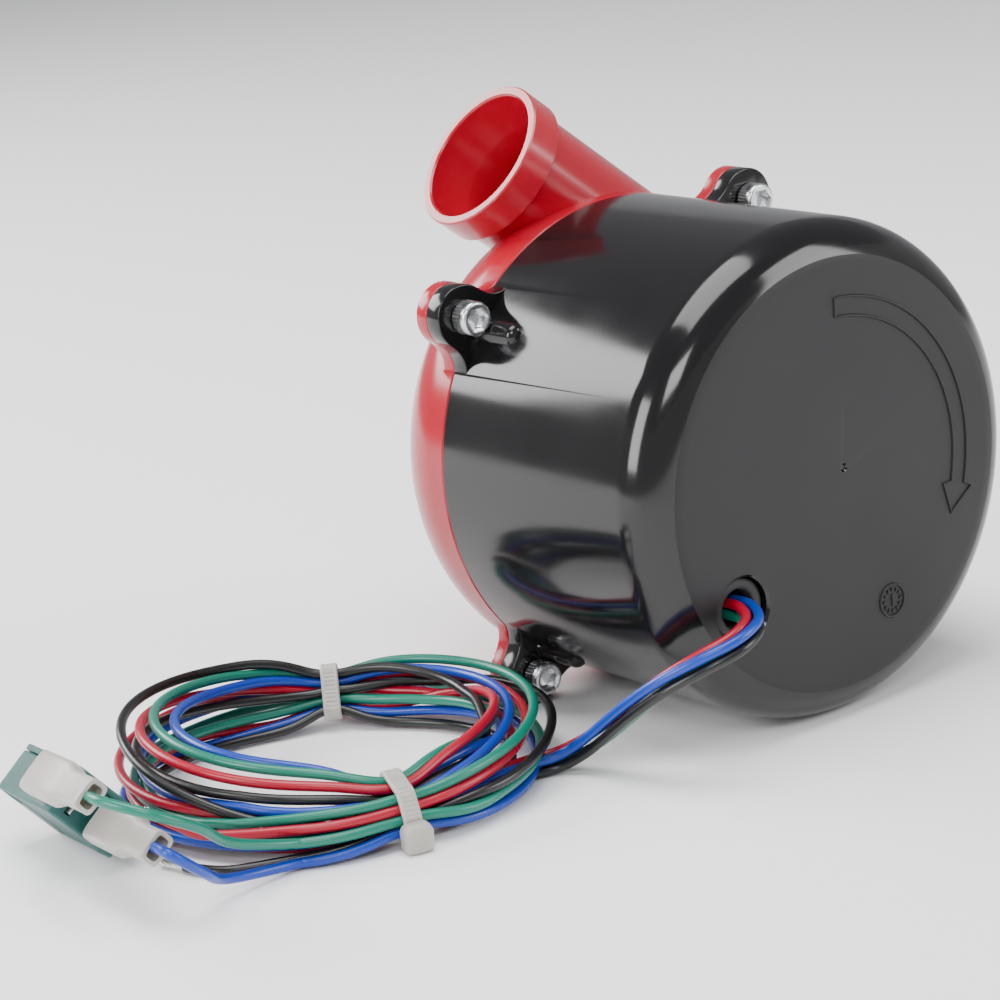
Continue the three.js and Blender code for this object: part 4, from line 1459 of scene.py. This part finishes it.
@dataclass
class VoluteCover:
    """The red cover: a domed volute with a tangential horn and the intake slots in its nose."""

    datum: Datum
    paint: Paint
    lugs: LugSizes
    wall: float = 2.5
    band: float = 4.2
    dome_depth: float = 25.2
    flat_radius: float = 16.0
    rebate_depth: float = 3.0
    rebate_step: float = 0.8
    segments: int = 160
    horn_offset: float = 35.25
    horn_angle: float = 39.4
    horn_tilt: float = 4.0
    horn_length: float = 53.1
    throat_y: float = -15.2
    mouth_radius: float = 16.25
    collar: float = 7.3
    tube_radius: float = 14.45
    mouth_bore: float = 14.1
    bore: float = 12.2
    bore_cone: float = 9.0
    slots: int = 10
    slot_inner: float = 8.0
    slot_outer: float = 15.0
    slot_width: float = 2.8

    def build(self) -> Piece:
        """Builds and dresses the cover.

        Returns:
            The piece.
        """
        radius = self.datum.axis_z / MM
        front = -(self.band + self.dome_depth)
        dome = quarter((self.flat_radius, -self.band), (radius - self.flat_radius, self.dome_depth),
                       0, -90, 26)
        outer = [(0, 0), (radius - 0.3, 0), (radius, -0.3)] + dome + [(0, front)]
        cover = about_y("volute_cover", outer, self.segments, self.datum)
        horn = self._along_horn("horn", [
            *quarter((0, 0), (self.tube_radius, self.tube_radius), -90, 0, 12),
            (self.tube_radius + 0.25, self.horn_length - self.collar - 0.6),
            (self.tube_radius + 0.55, self.horn_length - self.collar - 0.15),
            (self.mouth_radius - 0.35, self.horn_length - self.collar),
            (self.mouth_radius, self.horn_length - self.collar + 0.35),
            (self.mouth_radius, self.horn_length - 0.3), (self.mouth_radius - 0.3, self.horn_length),
            (0, self.horn_length)])
        ears = [soften(prism("ear", self.lugs.outline(angle, radius), -self.lugs.cover_thick, 0.0,
                             self.datum), 0.5) for angle in self.lugs.angles()]
        combine(cover, [horn] + ears, "UNION")
        combine(cover, [self._chamber(radius, front), self._duct()] + self._slot_cutters(front)
                + self._hole_cutters(), "DIFFERENCE")
        self.paint.dress(cover, COVER_RED)
        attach(cover, HOUSING)
        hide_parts("front_volute_cover")
        return cover

    def _chamber(self, radius: float, front: float) -> Piece:
        """The hollow that the impeller turns in.

        Args:
            radius: Radius of the cover's outside.
            front: Y of its nose.

        Returns:
            The linked cutter.
        """
        inner = radius - self.wall
        semi = (inner - self.flat_radius, self.dome_depth - self.wall)
        dome = quarter((self.flat_radius, -self.band), semi, 0, -90, 18)
        profile = [(0, 2), (inner + self.rebate_step, 2), (inner + self.rebate_step, -self.rebate_depth),
                   (inner, -self.rebate_depth), *dome, (0, front + self.wall)]
        return about_y("chamber", profile, 112, self.datum)

    def _duct(self) -> Piece:
        """The horn's bore, open at the mouth and into the chamber.

        Returns:
            The linked cutter.
        """
        length = self.horn_length
        return self._along_horn("duct", [
            *quarter((0, 0), (self.bore, self.bore), -90, 0, 8),
            (self.bore, length - self.bore_cone - 0.6), (self.bore + 0.35, length - self.bore_cone),
            (self.mouth_bore - 0.15, length - 2.2), (self.mouth_bore, length - 0.4),
            (self.mouth_bore + 0.4, length + 0.05), (self.mouth_bore + 0.4, length + 2), (0, length + 2)])

    def _along_horn(self, name: str, profile: Profile) -> Piece:
        """Turns a closed outline about the horn's own axis, whose zero is at the throat.

        Args:
            name: Name of the object.
            profile: Outline as (radius, distance along the horn).

        Returns:
            The linked object.
        """
        angle, tilt = math.radians(self.horn_angle), math.radians(self.horn_tilt)
        way = Vector((math.cos(angle) * math.cos(tilt), -math.sin(tilt), math.sin(angle) * math.cos(tilt)))
        throat = Vector((-self.horn_offset * math.sin(angle), self.throat_y,
                         self.horn_offset * math.cos(angle)))
        across = Vector((-math.sin(angle), 0, math.cos(angle)))
        third = way.cross(across)
        turns = loop_of_angles(104)
        rings = [self.datum.points([throat + way * along + (across * math.cos(a) + third * math.sin(a)) * r
                                    for a in turns])
                 for r, along in profile]
        return rings_to_piece(name, rings, caps=False)

    def _slot_cutters(self, front: float) -> list[Piece]:
        """Cutters of the round-ended intake slots.

        Args:
            front: Y of the cover's nose.

        Returns:
            The linked cutters.
        """
        cutters = []
        half, middle = self.slot_width / 2, (self.slot_inner + self.slot_outer) / 2
        reach = (self.slot_outer - self.slot_inner) / 2 - half
        for i in range(self.slots):
            angle = FULL_TURN / self.slots * i
            ends = (quarter((middle + reach, 0), (half, half), -90, 90, 8)
                    + quarter((middle - reach, 0), (half, half), 90, 270, 8))
            cos, sin = math.cos(angle), math.sin(angle)
            outline = [(x * cos - z * sin, x * sin + z * cos) for x, z in ends]
            cutters.append(prism("slot", outline, front - 2, front + self.wall + 2, self.datum))
        return cutters

    def _hole_cutters(self) -> list[Piece]:
        """Cutters of the screw holes.

        Returns:
            The linked cutters.
        """
        profile = [(0, -self.lugs.cover_thick - 2), (self.lugs.hole, -self.lugs.cover_thick - 2),
                   (self.lugs.hole, 2), (0, 2)]
        return [about_y("hole", profile, 40, self.datum, self.lugs.centre(angle))
                for angle in self.lugs.angles()]


@dataclass
class CaseFastener:
    """One socket-head screw through an ear, with its nut."""

    datum: Datum
    paint: Paint
    lugs: LugSizes
    seat: float = 4.3
    shank: float = 2.0
    head_radius: float = 3.5
    head_height: float = 4.0
    socket: float = 2.25
    socket_depth: float = 2.3
    thread_pitch: float = 0.7
    thread_depth: float = 0.22
    knurls: int = 36
    knurl_depth: float = 0.11
    nut_radius: float = 4.04
    nut_height: float = 3.2
    tip: float = -7.8
    steps: int = 144

    def _loop(self, radius: Callable[[float], float], y: float,
              centre: tuple[float, float]) -> np.ndarray:
        """A ring of points whose radius depends on the angle.

        Args:
            radius: Gives the radius at an angle.
            y: Where the ring lies along the screw.
            centre: X and Z of the screw's axis.

        Returns:
            The points in metres.
        """
        x, z = centre
        return self.datum.points([(x + radius(a) * math.cos(a), y, z + radius(a) * math.sin(a))
                                  for a in loop_of_angles(self.steps)])

    @staticmethod
    def _circle(radius: float) -> Callable[[float], float]:
        """A radius that is the same at each angle."""
        return lambda a: radius

    @staticmethod
    def _hexagon(flats_half: float) -> Callable[[float], float]:
        """Radius of a hexagon at an angle, from half its width over flats."""
        return lambda a: flats_half / math.cos((a % (math.pi / 3)) - math.pi / 6)

    def build(self, number: int, angle: float) -> tuple[Piece, Piece]:
        """Builds one screw and its nut.

        Args:
            number: Which fastener.
            angle: Where its ear is, in degrees.

        Returns:
            The screw and the nut.
        """
        centre = self.lugs.centre(angle)
        screw = rings_to_piece(f"screw_{number}", self._screw_rings(centre), sharp=38)
        nut = rings_to_piece(f"nut_{number}", self._nut_rings(centre), closed=True, sharp=30)
        for piece, node in ((screw, f"case_screw_{number}"), (nut, f"case_nut_{number}")):
            self.paint.dress(piece, ZINC)
            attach(piece, HOUSING)
            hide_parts(node)
        return screw, nut

    def _screw_rings(self, centre: tuple[float, float]) -> list[np.ndarray]:
        """Rings of the screw from its tip, up the thread and the knurled head, into the hex socket.

        Args:
            centre: X and Z of the screw's axis.

        Returns:
            The rings in metres.
        """
        thread_end = self.seat - 1.0
        head, top = self.head_radius, self.seat + self.head_height

        def ridge(level: float) -> Callable[[float], float]:
            """Radius of the thread at a level, by angle."""
            return lambda a: self.shank - self.thread_depth * abs(
                2 * ((level / self.thread_pitch - a / FULL_TURN) % 1) - 1)

        def knurl(a: float) -> float:
            """Radius of the knurled head at an angle."""
            return head - self.knurl_depth * (0.5 + 0.5 * math.cos(self.knurls * a))

        plan = [(self._circle(self.shank - 0.6), self.tip)]
        plan += [(ridge(y), y) for y in np.arange(self.tip + 0.5, thread_end, self.thread_pitch / 6)]
        plan += [(self._circle(radius), y) for radius, y in (
            (self.shank, thread_end), (self.shank, self.seat), (head - 0.25, self.seat))]
        plan += [(knurl, self.seat + rise) for rise in (0.2, 0.9, 1.7, 2.3)]
        plan += [(self._circle(radius), y) for radius, y in (
            (head, self.seat + 2.6), (head, top - 0.55), (head - 0.12, top - 0.22),
            (head - 0.42, top - 0.02), (head - 0.6, top), (self.socket + 0.42, top))]
        hexagon = self._hexagon(self.socket * 0.87)
        plan += [(hexagon, top - 0.35), (hexagon, top - self.socket_depth),
                 (self._circle(0.9), top - self.socket_depth - 0.25)]
        return [self._loop(radius, y, centre) for radius, y in plan]

    def _nut_rings(self, centre: tuple[float, float]) -> list[np.ndarray]:
        """Rings of a chamfered hexagonal nut, round its own section.

        Args:
            centre: X and Z of the nut's axis.

        Returns:
            The rings in metres.
        """
        top = -(self.lugs.cover_thick + 0.3)
        low = top - self.nut_height
        flats = self.nut_radius * math.cos(math.pi / 6)
        hexagon = self._hexagon(flats)

        def chamfer(a: float) -> float:
            """Radius of the hexagon with its corners turned down."""
            return min(hexagon(a), flats + 0.12)

        bore, mouth = self._circle(self.shank + 0.15), self._circle(self.shank + 0.15 + 0.3)
        face = self._circle(flats - 0.1)
        plan = [(bore, low + 0.3), (mouth, low), (face, low), (chamfer, low + 0.15), (hexagon, low + 0.45),
                (hexagon, top - 0.45), (chamfer, top - 0.15), (face, top), (mouth, top), (bore, top - 0.3)]
        return [self._loop(radius, y, centre) for radius, y in plan]


@dataclass
class Grommet:
    """The rubber ring that lines the wire hole."""

    datum: Datum
    paint: Paint
    lugs: LugSizes
    circle: float = 34.4
    angle: float = -35.2
    bore: float = 3.9
    radius: float = 6.2
    low: float = 57.9
    seat: float = 59.9
    top: float = 61.2

    def build(self) -> Piece:
        """Builds and dresses the ring, with a rolled lip at its mouth.

        Returns:
            The piece.
        """
        lip = quarter((self.radius - 1.15, self.top - 0.75), (1.15, 0.75), 0, 180, 14)
        profile = [(self.bore, self.low), (self.radius - 1, self.low), (self.radius - 0.75, self.seat - 0.3),
                   (self.radius, self.seat), *lip, (self.bore + 0.25, self.top - 1.3),
                   (self.bore, self.top - 1.7)]
        ring = about_y("grommet", profile, 72, self.datum, self.lugs.centre(self.angle, self.circle))
        self.paint.dress(ring, RUBBER)
        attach(ring, HOUSING)
        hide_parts("wire_grommet")
        return ring


# ---------------------------------------------------------------------------
# Microswitch and wire ends
# ---------------------------------------------------------------------------
@dataclass(frozen=True)
class Terminal:
    """A terminal strip on the switch's own axes.

    It lies along x at a height z. Above the terminal face it stands on a stem, below it it leaves the end.
    """

    name: str
    x: float
    z: float
    y: float
    reach: float = 7.0


COMMON = Terminal("common", 20.0, 3.6, 5.15)
NORMALLY_OPEN = Terminal("normally_open", 27.8, -9.1, 4.3)
NORMALLY_CLOSED = Terminal("normally_closed", 27.8, -3.4, 4.3, 1.2)


@dataclass
class Microswitch:
    """The trigger microswitch, resting on a corner with its two leads plugged on.

    Its own axes are x along the body, y across the width and z out of the terminal face.
    """

    datum: Datum
    paint: Paint
    corner: tuple[float, float] = (147.4, -20.4)
    heading: float = 80.9
    pitch: float = -6.8
    roll: float = 40.4
    lift: float = 0.05
    length: float = 27.8
    width: float = 10.3
    height: float = 15.9
    wall: float = 1.2
    cover_thick: float = 1.4
    parting: float = 0.06
    skin: float = 1.0
    hole_radius: float = 1.55
    holes: tuple = ((3.0, -3.0), (25.2, -13.1))
    tab_width: float = 4.75
    tab_thick: float = 0.6
    plunger_at: float = 7.7
    plunger_size: tuple[float, float] = (3.0, 3.0)
    plunger_proud: float = 1.8
    plunger_flange: float = 5.0
    sleeve_length: float = 27.0
    sleeve_mouth: tuple[float, float] = (8.6, 4.4)
    sleeve_neck: tuple[float, float] = (6.2, 4.1)
    sleeve_wall: float = 0.7
    sleeve_stand: float = 2.2
    spade_length: float = 8.0
    tab_slack: float = 0.3

    def __post_init__(self) -> None:
        """Finds the pose from the three angles and the ground."""
        self.turn = (Matrix.Rotation(math.radians(self.heading), 3, "Z")
                     @ Matrix.Rotation(math.radians(self.pitch), 3, "Y")
                     @ Matrix.Rotation(math.radians(self.roll), 3, "X"))
        corners = [self.turn @ Vector((x, y, z)) for x in (0, self.length) for y in (0, self.width)
                   for z in (-self.height, 0)]
        lowest = min(corner.z for corner in corners)
        self.origin = Vector((*self.corner, self.datum.ground + self.lift - lowest))

    def put(self, places: Iterable[Sequence[float]]) -> np.ndarray:
        """Points on the switch's own axes, in the frame's metres."""
        return self.datum.points([self.origin + self.turn @ Vector(place) for place in places])

    def block(self, name: str, low: Sequence[float], high: Sequence[float],
              bevel: float = 0.0) -> Piece:
        """A block between two corners, with its edges rounded.

        Args:
            name: Name of the object.
            low: Its lowest corner on the switch's own axes.
            high: Its highest corner.
            bevel: Size of the rounding in millimetres, or 0 for none.

        Returns:
            The linked object.
        """
        (x0, y0, z0), (x1, y1, z1) = low, high
        rings = [self.put([(x0, y, z0), (x1, y, z0), (x1, y, z1), (x0, y, z1)]) for y in (y0, y1)]
        piece = rings_to_piece(name, rings)
        return soften(piece, bevel) if bevel else piece

    def along_y(self, name: str, profile: Profile, at: tuple[float, float],
                steps: int = 48) -> Piece:
        """A round piece about a line along the switch's y.

        Args:
            name: Name of the object.
            profile: (radius, y) from axis to axis.
            at: x and z of the line.
            steps: Steps round it.

        Returns:
            The linked object.
        """
        ways = loop_of_angles(steps)
        rings = [self.put([(at[0] + r * math.cos(a), y, at[1] + r * math.sin(a)) for a in ways])
                 for r, y in profile]
        return rings_to_piece(name, rings, caps=False)

    def build(self) -> list[Piece]:
        """Builds the whole switch with its plunger and terminals."""
        case = [self._body(), self._cover(), self._plunger()]
        return case + [self._tab(terminal) for terminal in (COMMON, NORMALLY_OPEN, NORMALLY_CLOSED)]

    def _finish(self, piece: Piece, finish: Finish, node: str,
                body: str = HOUSING) -> Piece:
        """Dresses a piece, sets what it rides and hides the CAD node that it stands for.

        Args:
            piece: The object.
            finish: Its surface.
            node: The CAD node.
            body: The body that it rides.

        Returns:
            The same object.
        """
        self.paint.dress(piece, finish)
        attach(piece, body)
        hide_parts(node)
        return piece

    def _cutters(self) -> list[Piece]:
        """Cutters that body and cover share: mounting holes with their chamfers, and tab slots.

        Returns:
            The linked cutters.
        """
        cutters = []
        for at in self.holes:
            r = self.hole_radius
            profile = [(0, -1), (r + 0.65, -1), (r + 0.65, 0.12), (r + 0.3, 0.22), (r, 0.55),
                       (r, self.width - 0.55), (r + 0.3, self.width - 0.22), (r + 0.65, self.width - 0.12),
                       (r + 0.65, self.width + 1), (0, self.width + 1)]
            cutters.append(self.along_y("mount_hole", profile, at))
        for terminal in (COMMON, NORMALLY_OPEN, NORMALLY_CLOSED):
            thin, wide = self.tab_thick / 2 + self.tab_slack, self.tab_width / 2 + self.tab_slack
            low, high = (terminal.y - wide, terminal.y + wide)
            if terminal.z < 0:
                ends = (terminal.x - 3, low, terminal.z - thin), (terminal.x + 3, high, terminal.z + thin)
            else:
                ends = (terminal.x - thin, low, -4), (terminal.x + thin, high, 2)
            cutters.append(self.block("tab_slot", *ends))
        return cutters

    def _body(self) -> Piece:
        """The deep half of the case.

        Returns:
            The piece.
        """
        top = self.width - self.cover_thick - self.parting
        body = self.block("switch_body", (0, 0, -self.height), (self.length, top, 0), 0.5)
        half = self.plunger_size[0] / 2 + 0.3
        middle = self.width / 2
        cavity = self.block("cavity", (self.wall, self.skin, self.wall - self.height),
                            (self.length - self.wall, self.width, -self.wall))
        plunger = self.block("plunger_hole", (self.plunger_at - half, middle - half, -self.height - 3),
                             (self.plunger_at + half, middle + half, -self.height + 3))
        panel = self.block("panel", (6.2, -1, -self.height + 1.1), (self.length - 1.1, 0.14, -1.1))
        soften(panel, 0.6, angle=60)
        combine(body, self._cutters() + [panel, cavity, plunger], "DIFFERENCE")
        return self._finish(body, TEAL, "switch_body")

    def _cover(self) -> Piece:
        """The thin half of the case, with the dimples of its pins.

        Returns:
            The piece.
        """
        low = self.width - self.cover_thick + self.parting
        cover = self.block("switch_cover", (0, low, -self.height), (self.length, self.width, 0), 0.42)
        pins = []
        for at in ((self.length - 3.2, -3.0), (3.2, -self.height + 3.2), (self.length / 2, -3.0)):
            y = self.width
            profile = [(0, y - 0.35), (0.55, y - 0.35), (0.8, y - 0.12), (1.25, y - 0.12), (1.35, y + 0.1),
                       (1.35, y + 1), (0, y + 1)]
            pins.append(self.along_y("pin", profile, at, 32))
        combine(cover, self._cutters() + pins, "DIFFERENCE")
        return self._finish(cover, TEAL, "switch_cover")

    def _plunger(self) -> Piece:
        """The plunger with its flange inside the case.

        Returns:
            The piece.
        """
        floor = -self.height + self.wall + 0.3
        (half_x, half_y), middle = (size / 2 for size in self.plunger_size), self.width / 2
        low = -self.height - self.plunger_proud
        button = self.block("plunger", (self.plunger_at - half_x, middle - half_y, low),
                            (self.plunger_at + half_x, middle + half_y, floor + 0.5), 0.55)
        half = self.plunger_flange / 2
        flange = self.block("flange", (self.plunger_at - half, middle - half_y, floor),
                            (self.plunger_at + half, middle + half_y, floor + 1), 0.15)
        combine(button, [flange], "UNION")
        return self._finish(button, RUBBER, "switch_plunger", "plunger")

    def _tab(self, terminal: Terminal) -> Piece:
        """One terminal: straight out of the end, or a stem that bends over along x.

        Args:
            terminal: Which one.

        Returns:
            The piece.
        """
        thick, inside = self.tab_thick / 2, self.wall + 2
        tip = terminal.x + terminal.reach - (0.1 if terminal.z > 0 else 0.0)
        nose = [(tip - 0.5, terminal.z - thick), (tip, terminal.z - 0.12), (tip, terminal.z + 0.12),
                (tip - 0.5, terminal.z + thick)]
        if terminal.z > 0:
            left, right, bend = terminal.x - thick, terminal.x + thick, 0.9
            under = quarter((right + bend, terminal.z - thick - bend), (bend, bend), 180, 90, 8)
            over = quarter((left + bend + 0.6, terminal.z + thick - bend - 0.6), (bend + 0.6, bend + 0.6),
                           90, 180, 8)
            outline = [(left, -inside), (right, -inside)] + under + nose + over
        else:
            start = terminal.x - inside
            outline = [(start, terminal.z - thick)] + nose + [(start, terminal.z + thick)]
        half = self.tab_width / 2
        rings = [self.put([(x, terminal.y + y, z) for x, z in outline]) for y in (-half, half)]
        tab = soften(rings_to_piece(f"tab_{terminal.name}", rings), 0.12, 2)
        return self._finish(tab, TINNED, f"tab_{terminal.name}")

    def sleeve(self, colour: WireColour, terminal: Terminal) -> Piece:
        """An insulating sleeve, wide over the receptacle and narrow at its wire.

        Args:
            colour: Whose end it is.
            terminal: What it is pushed over.

        Returns:
            The piece.
        """
        wide, neck, end = self.sleeve_mouth, self.sleeve_neck, self.sleeve_length
        start = terminal.x + self.sleeve_stand
        plan = [(0.0, 0.1, wide), (0.25, 0.0, wide), (13.4, 0.0, wide), (14.2, 0.1, wide), (17.2, 0.0, neck),
                (end - 0.9, 0.0, neck), (end - 0.3, -0.06, neck), (end, 0.1, neck)]
        ways = loop_of_angles(56)
        walls = []
        for shrink, order in ((0.0, plan), (self.sleeve_wall, plan[::-1])):
            for along, pull, (size_y, size_z) in order:
                half_y, half_z = size_y / 2 - pull - shrink, size_z / 2 - pull - shrink
                walls.append(self.put([(start + along, terminal.y + half_y * squared(math.cos(a), 0.42),
                                        terminal.z + half_z * squared(math.sin(a), 0.42)) for a in ways]))
        sleeve = rings_to_piece(f"sleeve_{colour.value}", walls, closed=True, sharp=50)
        return self._finish(sleeve, NYLON, f"sleeve_{colour.value}")

    def receptacle(self, colour: WireColour, terminal: Terminal) -> Piece:
        """The push-on receptacle in a sleeve, with its edges rolled over the tab.

        Args:
            colour: Whose end it is.
            terminal: What it is pushed over.

        Returns:
            The piece.
        """
        start = terminal.x + self.sleeve_stand + 0.6
        section = [(-2.8, -1.1), (2.8, -1.1), (2.8, 0.95), (0.7, 0.95), (0.7, 0.6), (2.5, 0.6), (2.5, -0.6),
                   (-2.5, -0.6), (-2.5, 0.6), (-0.7, 0.6), (-0.7, 0.95), (-2.8, 0.95)]
        rings = [self.put([(x, terminal.y + y, terminal.z + z) for y, z in section])
                 for x in (start, start + self.spade_length)]
        clip = soften(rings_to_piece(f"receptacle_{colour.value}", rings), 0.14, 2)
        return self._finish(clip, BRONZE, f"receptacle_{colour.value}")

    def plug(self, colour: WireColour, terminal: Terminal) -> list[Piece]:
        """The sleeve and receptacle that end a wire."""
        return [self.sleeve(colour, terminal), self.receptacle(colour, terminal)]


@dataclass
class BareEnd:
    """The stripped and tinned strands at a wire's end."""

    datum: Datum
    paint: Paint
    strand_radius: float = 0.23
    lay_radius: float = 0.47
    strands: int = 7
    twist_pitch: float = 9.0
    splay: float = 0.5
    reach_back: float = 1.6
    knots: int = 12
    splay_from: float = 0.45

    def build(self, colour: WireColour, line: Sequence[Vector]) -> Piece:
        """Builds one wire's strands.

        Args:
            colour: Whose end it is.
            line: Middle line from inside the wire to the tip, in blower millimetres.

        Returns:
            The linked object.
        """
        curve = bpy.data.curves.new(f"bare_end_{colour.value}", "CURVE")
        curve.dimensions = "3D"
        curve.bevel_depth = self.strand_radius * MM
        curve.bevel_resolution = 3
        curve.use_fill_caps = True
        start, tip = Vector(line[0]), Vector(line[-1])
        along = (tip - start).normalized()
        start = start - along * self.reach_back
        side = along.orthogonal().normalized()
        other = along.cross(side)
        length = (tip - start).length
        for strand in range(self.strands):
            spline = curve.splines.new("BEZIER")
            spline.bezier_points.add(self.knots - 1)
            reach = length * (1 - 0.05 * (strand % 3))
            for i, knot in enumerate(spline.bezier_points):
                s = reach * i / (self.knots - 1)
                opened = self.splay * max(0.0, s / length - self.splay_from) ** 2
                spread = 0.0 if strand == 0 else self.lay_radius + opened
                angle = FULL_TURN * (strand / (self.strands - 1) + s / self.twist_pitch)
                around = side * (spread * math.cos(angle)) + other * (spread * math.sin(angle))
                knot.co = self.datum.point(start + along * s + around)
                knot.handle_left_type = knot.handle_right_type = "AUTO"
        piece = bpy.data.objects.new(curve.name, curve)
        bpy.context.scene.collection.objects.link(piece)
        self.paint.dress(piece, TINNED)
        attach(piece, HOUSING)
        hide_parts(f"bare_end_{colour.value}")
        return piece


# ---------------------------------------------------------------------------
# What stays from the CAD model
# ---------------------------------------------------------------------------
INSIDE_FINISHES = (
    (STEEL, ("motor_plate", "motor_case", "rotor_shaft", "armature_core")),
    (ZINC, ("motor_screw_1", "motor_screw_2", "impeller_nut")),
    (FERRITE, ("magnet_left", "magnet_right")),
    (BRONZE, ("front_bushing", "rear_bushing")),
    (GREY_NYLON, ("motor_end_bell", "impeller")),
    (CARBON, ("brush_left", "brush_right")),
    (COPPER, ("armature_winding_1", "armature_winding_2", "armature_winding_3", "commutator")),
    (BOARD, ("control_board",)),
    (RELAY, ("board_relay",)),
    (SHRINK, ("board_capacitor",)),
)


def dress_inside(paint: Paint) -> None:
    """Gives the motor, impeller and control board inside the can their finishes.

    Args:
        paint: Makes the materials.
    """
    for finish, nodes in INSIDE_FINISHES:
        for node in nodes:
            paint.dress_node(node, finish)
            LOG.info("%s: %s", node, finish.name)


def report(pieces: Iterable[Piece]) -> None:
    """Logs each piece with its finish.

    Args:
        pieces: The objects just built.
    """
    for piece in pieces:
        LOG.info("%s: %s", piece.name, piece.data.materials[0].name)


def main() -> None:
    """Builds the scene: stage and wires first, then the blower, the switch and the wire ends."""
    datum, paint, harness = build_stage_and_wires()
    report(harness.pieces.values())
    lugs = LugSizes()
    report([MotorCan(datum, paint, lugs).build(), VoluteCover(datum, paint, lugs).build()])
    fastener = CaseFastener(datum, paint, lugs)
    for number, angle in enumerate(lugs.angles(), start=1):
        report(fastener.build(number, angle))
    report([Grommet(datum, paint, lugs).build(), *harness.make_ties()])
    switch = Microswitch(datum, paint)
    report(switch.build())
    bare = BareEnd(datum, paint)
    ends = {
        WireColour.GREEN: switch.plug(WireColour.GREEN, COMMON),
        WireColour.BLUE: switch.plug(WireColour.BLUE, NORMALLY_OPEN),
        WireColour.RED: [bare.build(WireColour.RED, ((133.5, 15.1, -39.8), (134.0, 11.1, -39.1)))],
        WireColour.BLACK: [bare.build(WireColour.BLACK, ((132.3, 19.45, -48.75), (133.8, 14.0, -48.9)))],
    }
    for pieces in ends.values():
        report(pieces)
    harness.declare(ends)
    dress_inside(paint)


if __name__ == "__main__":
    main()
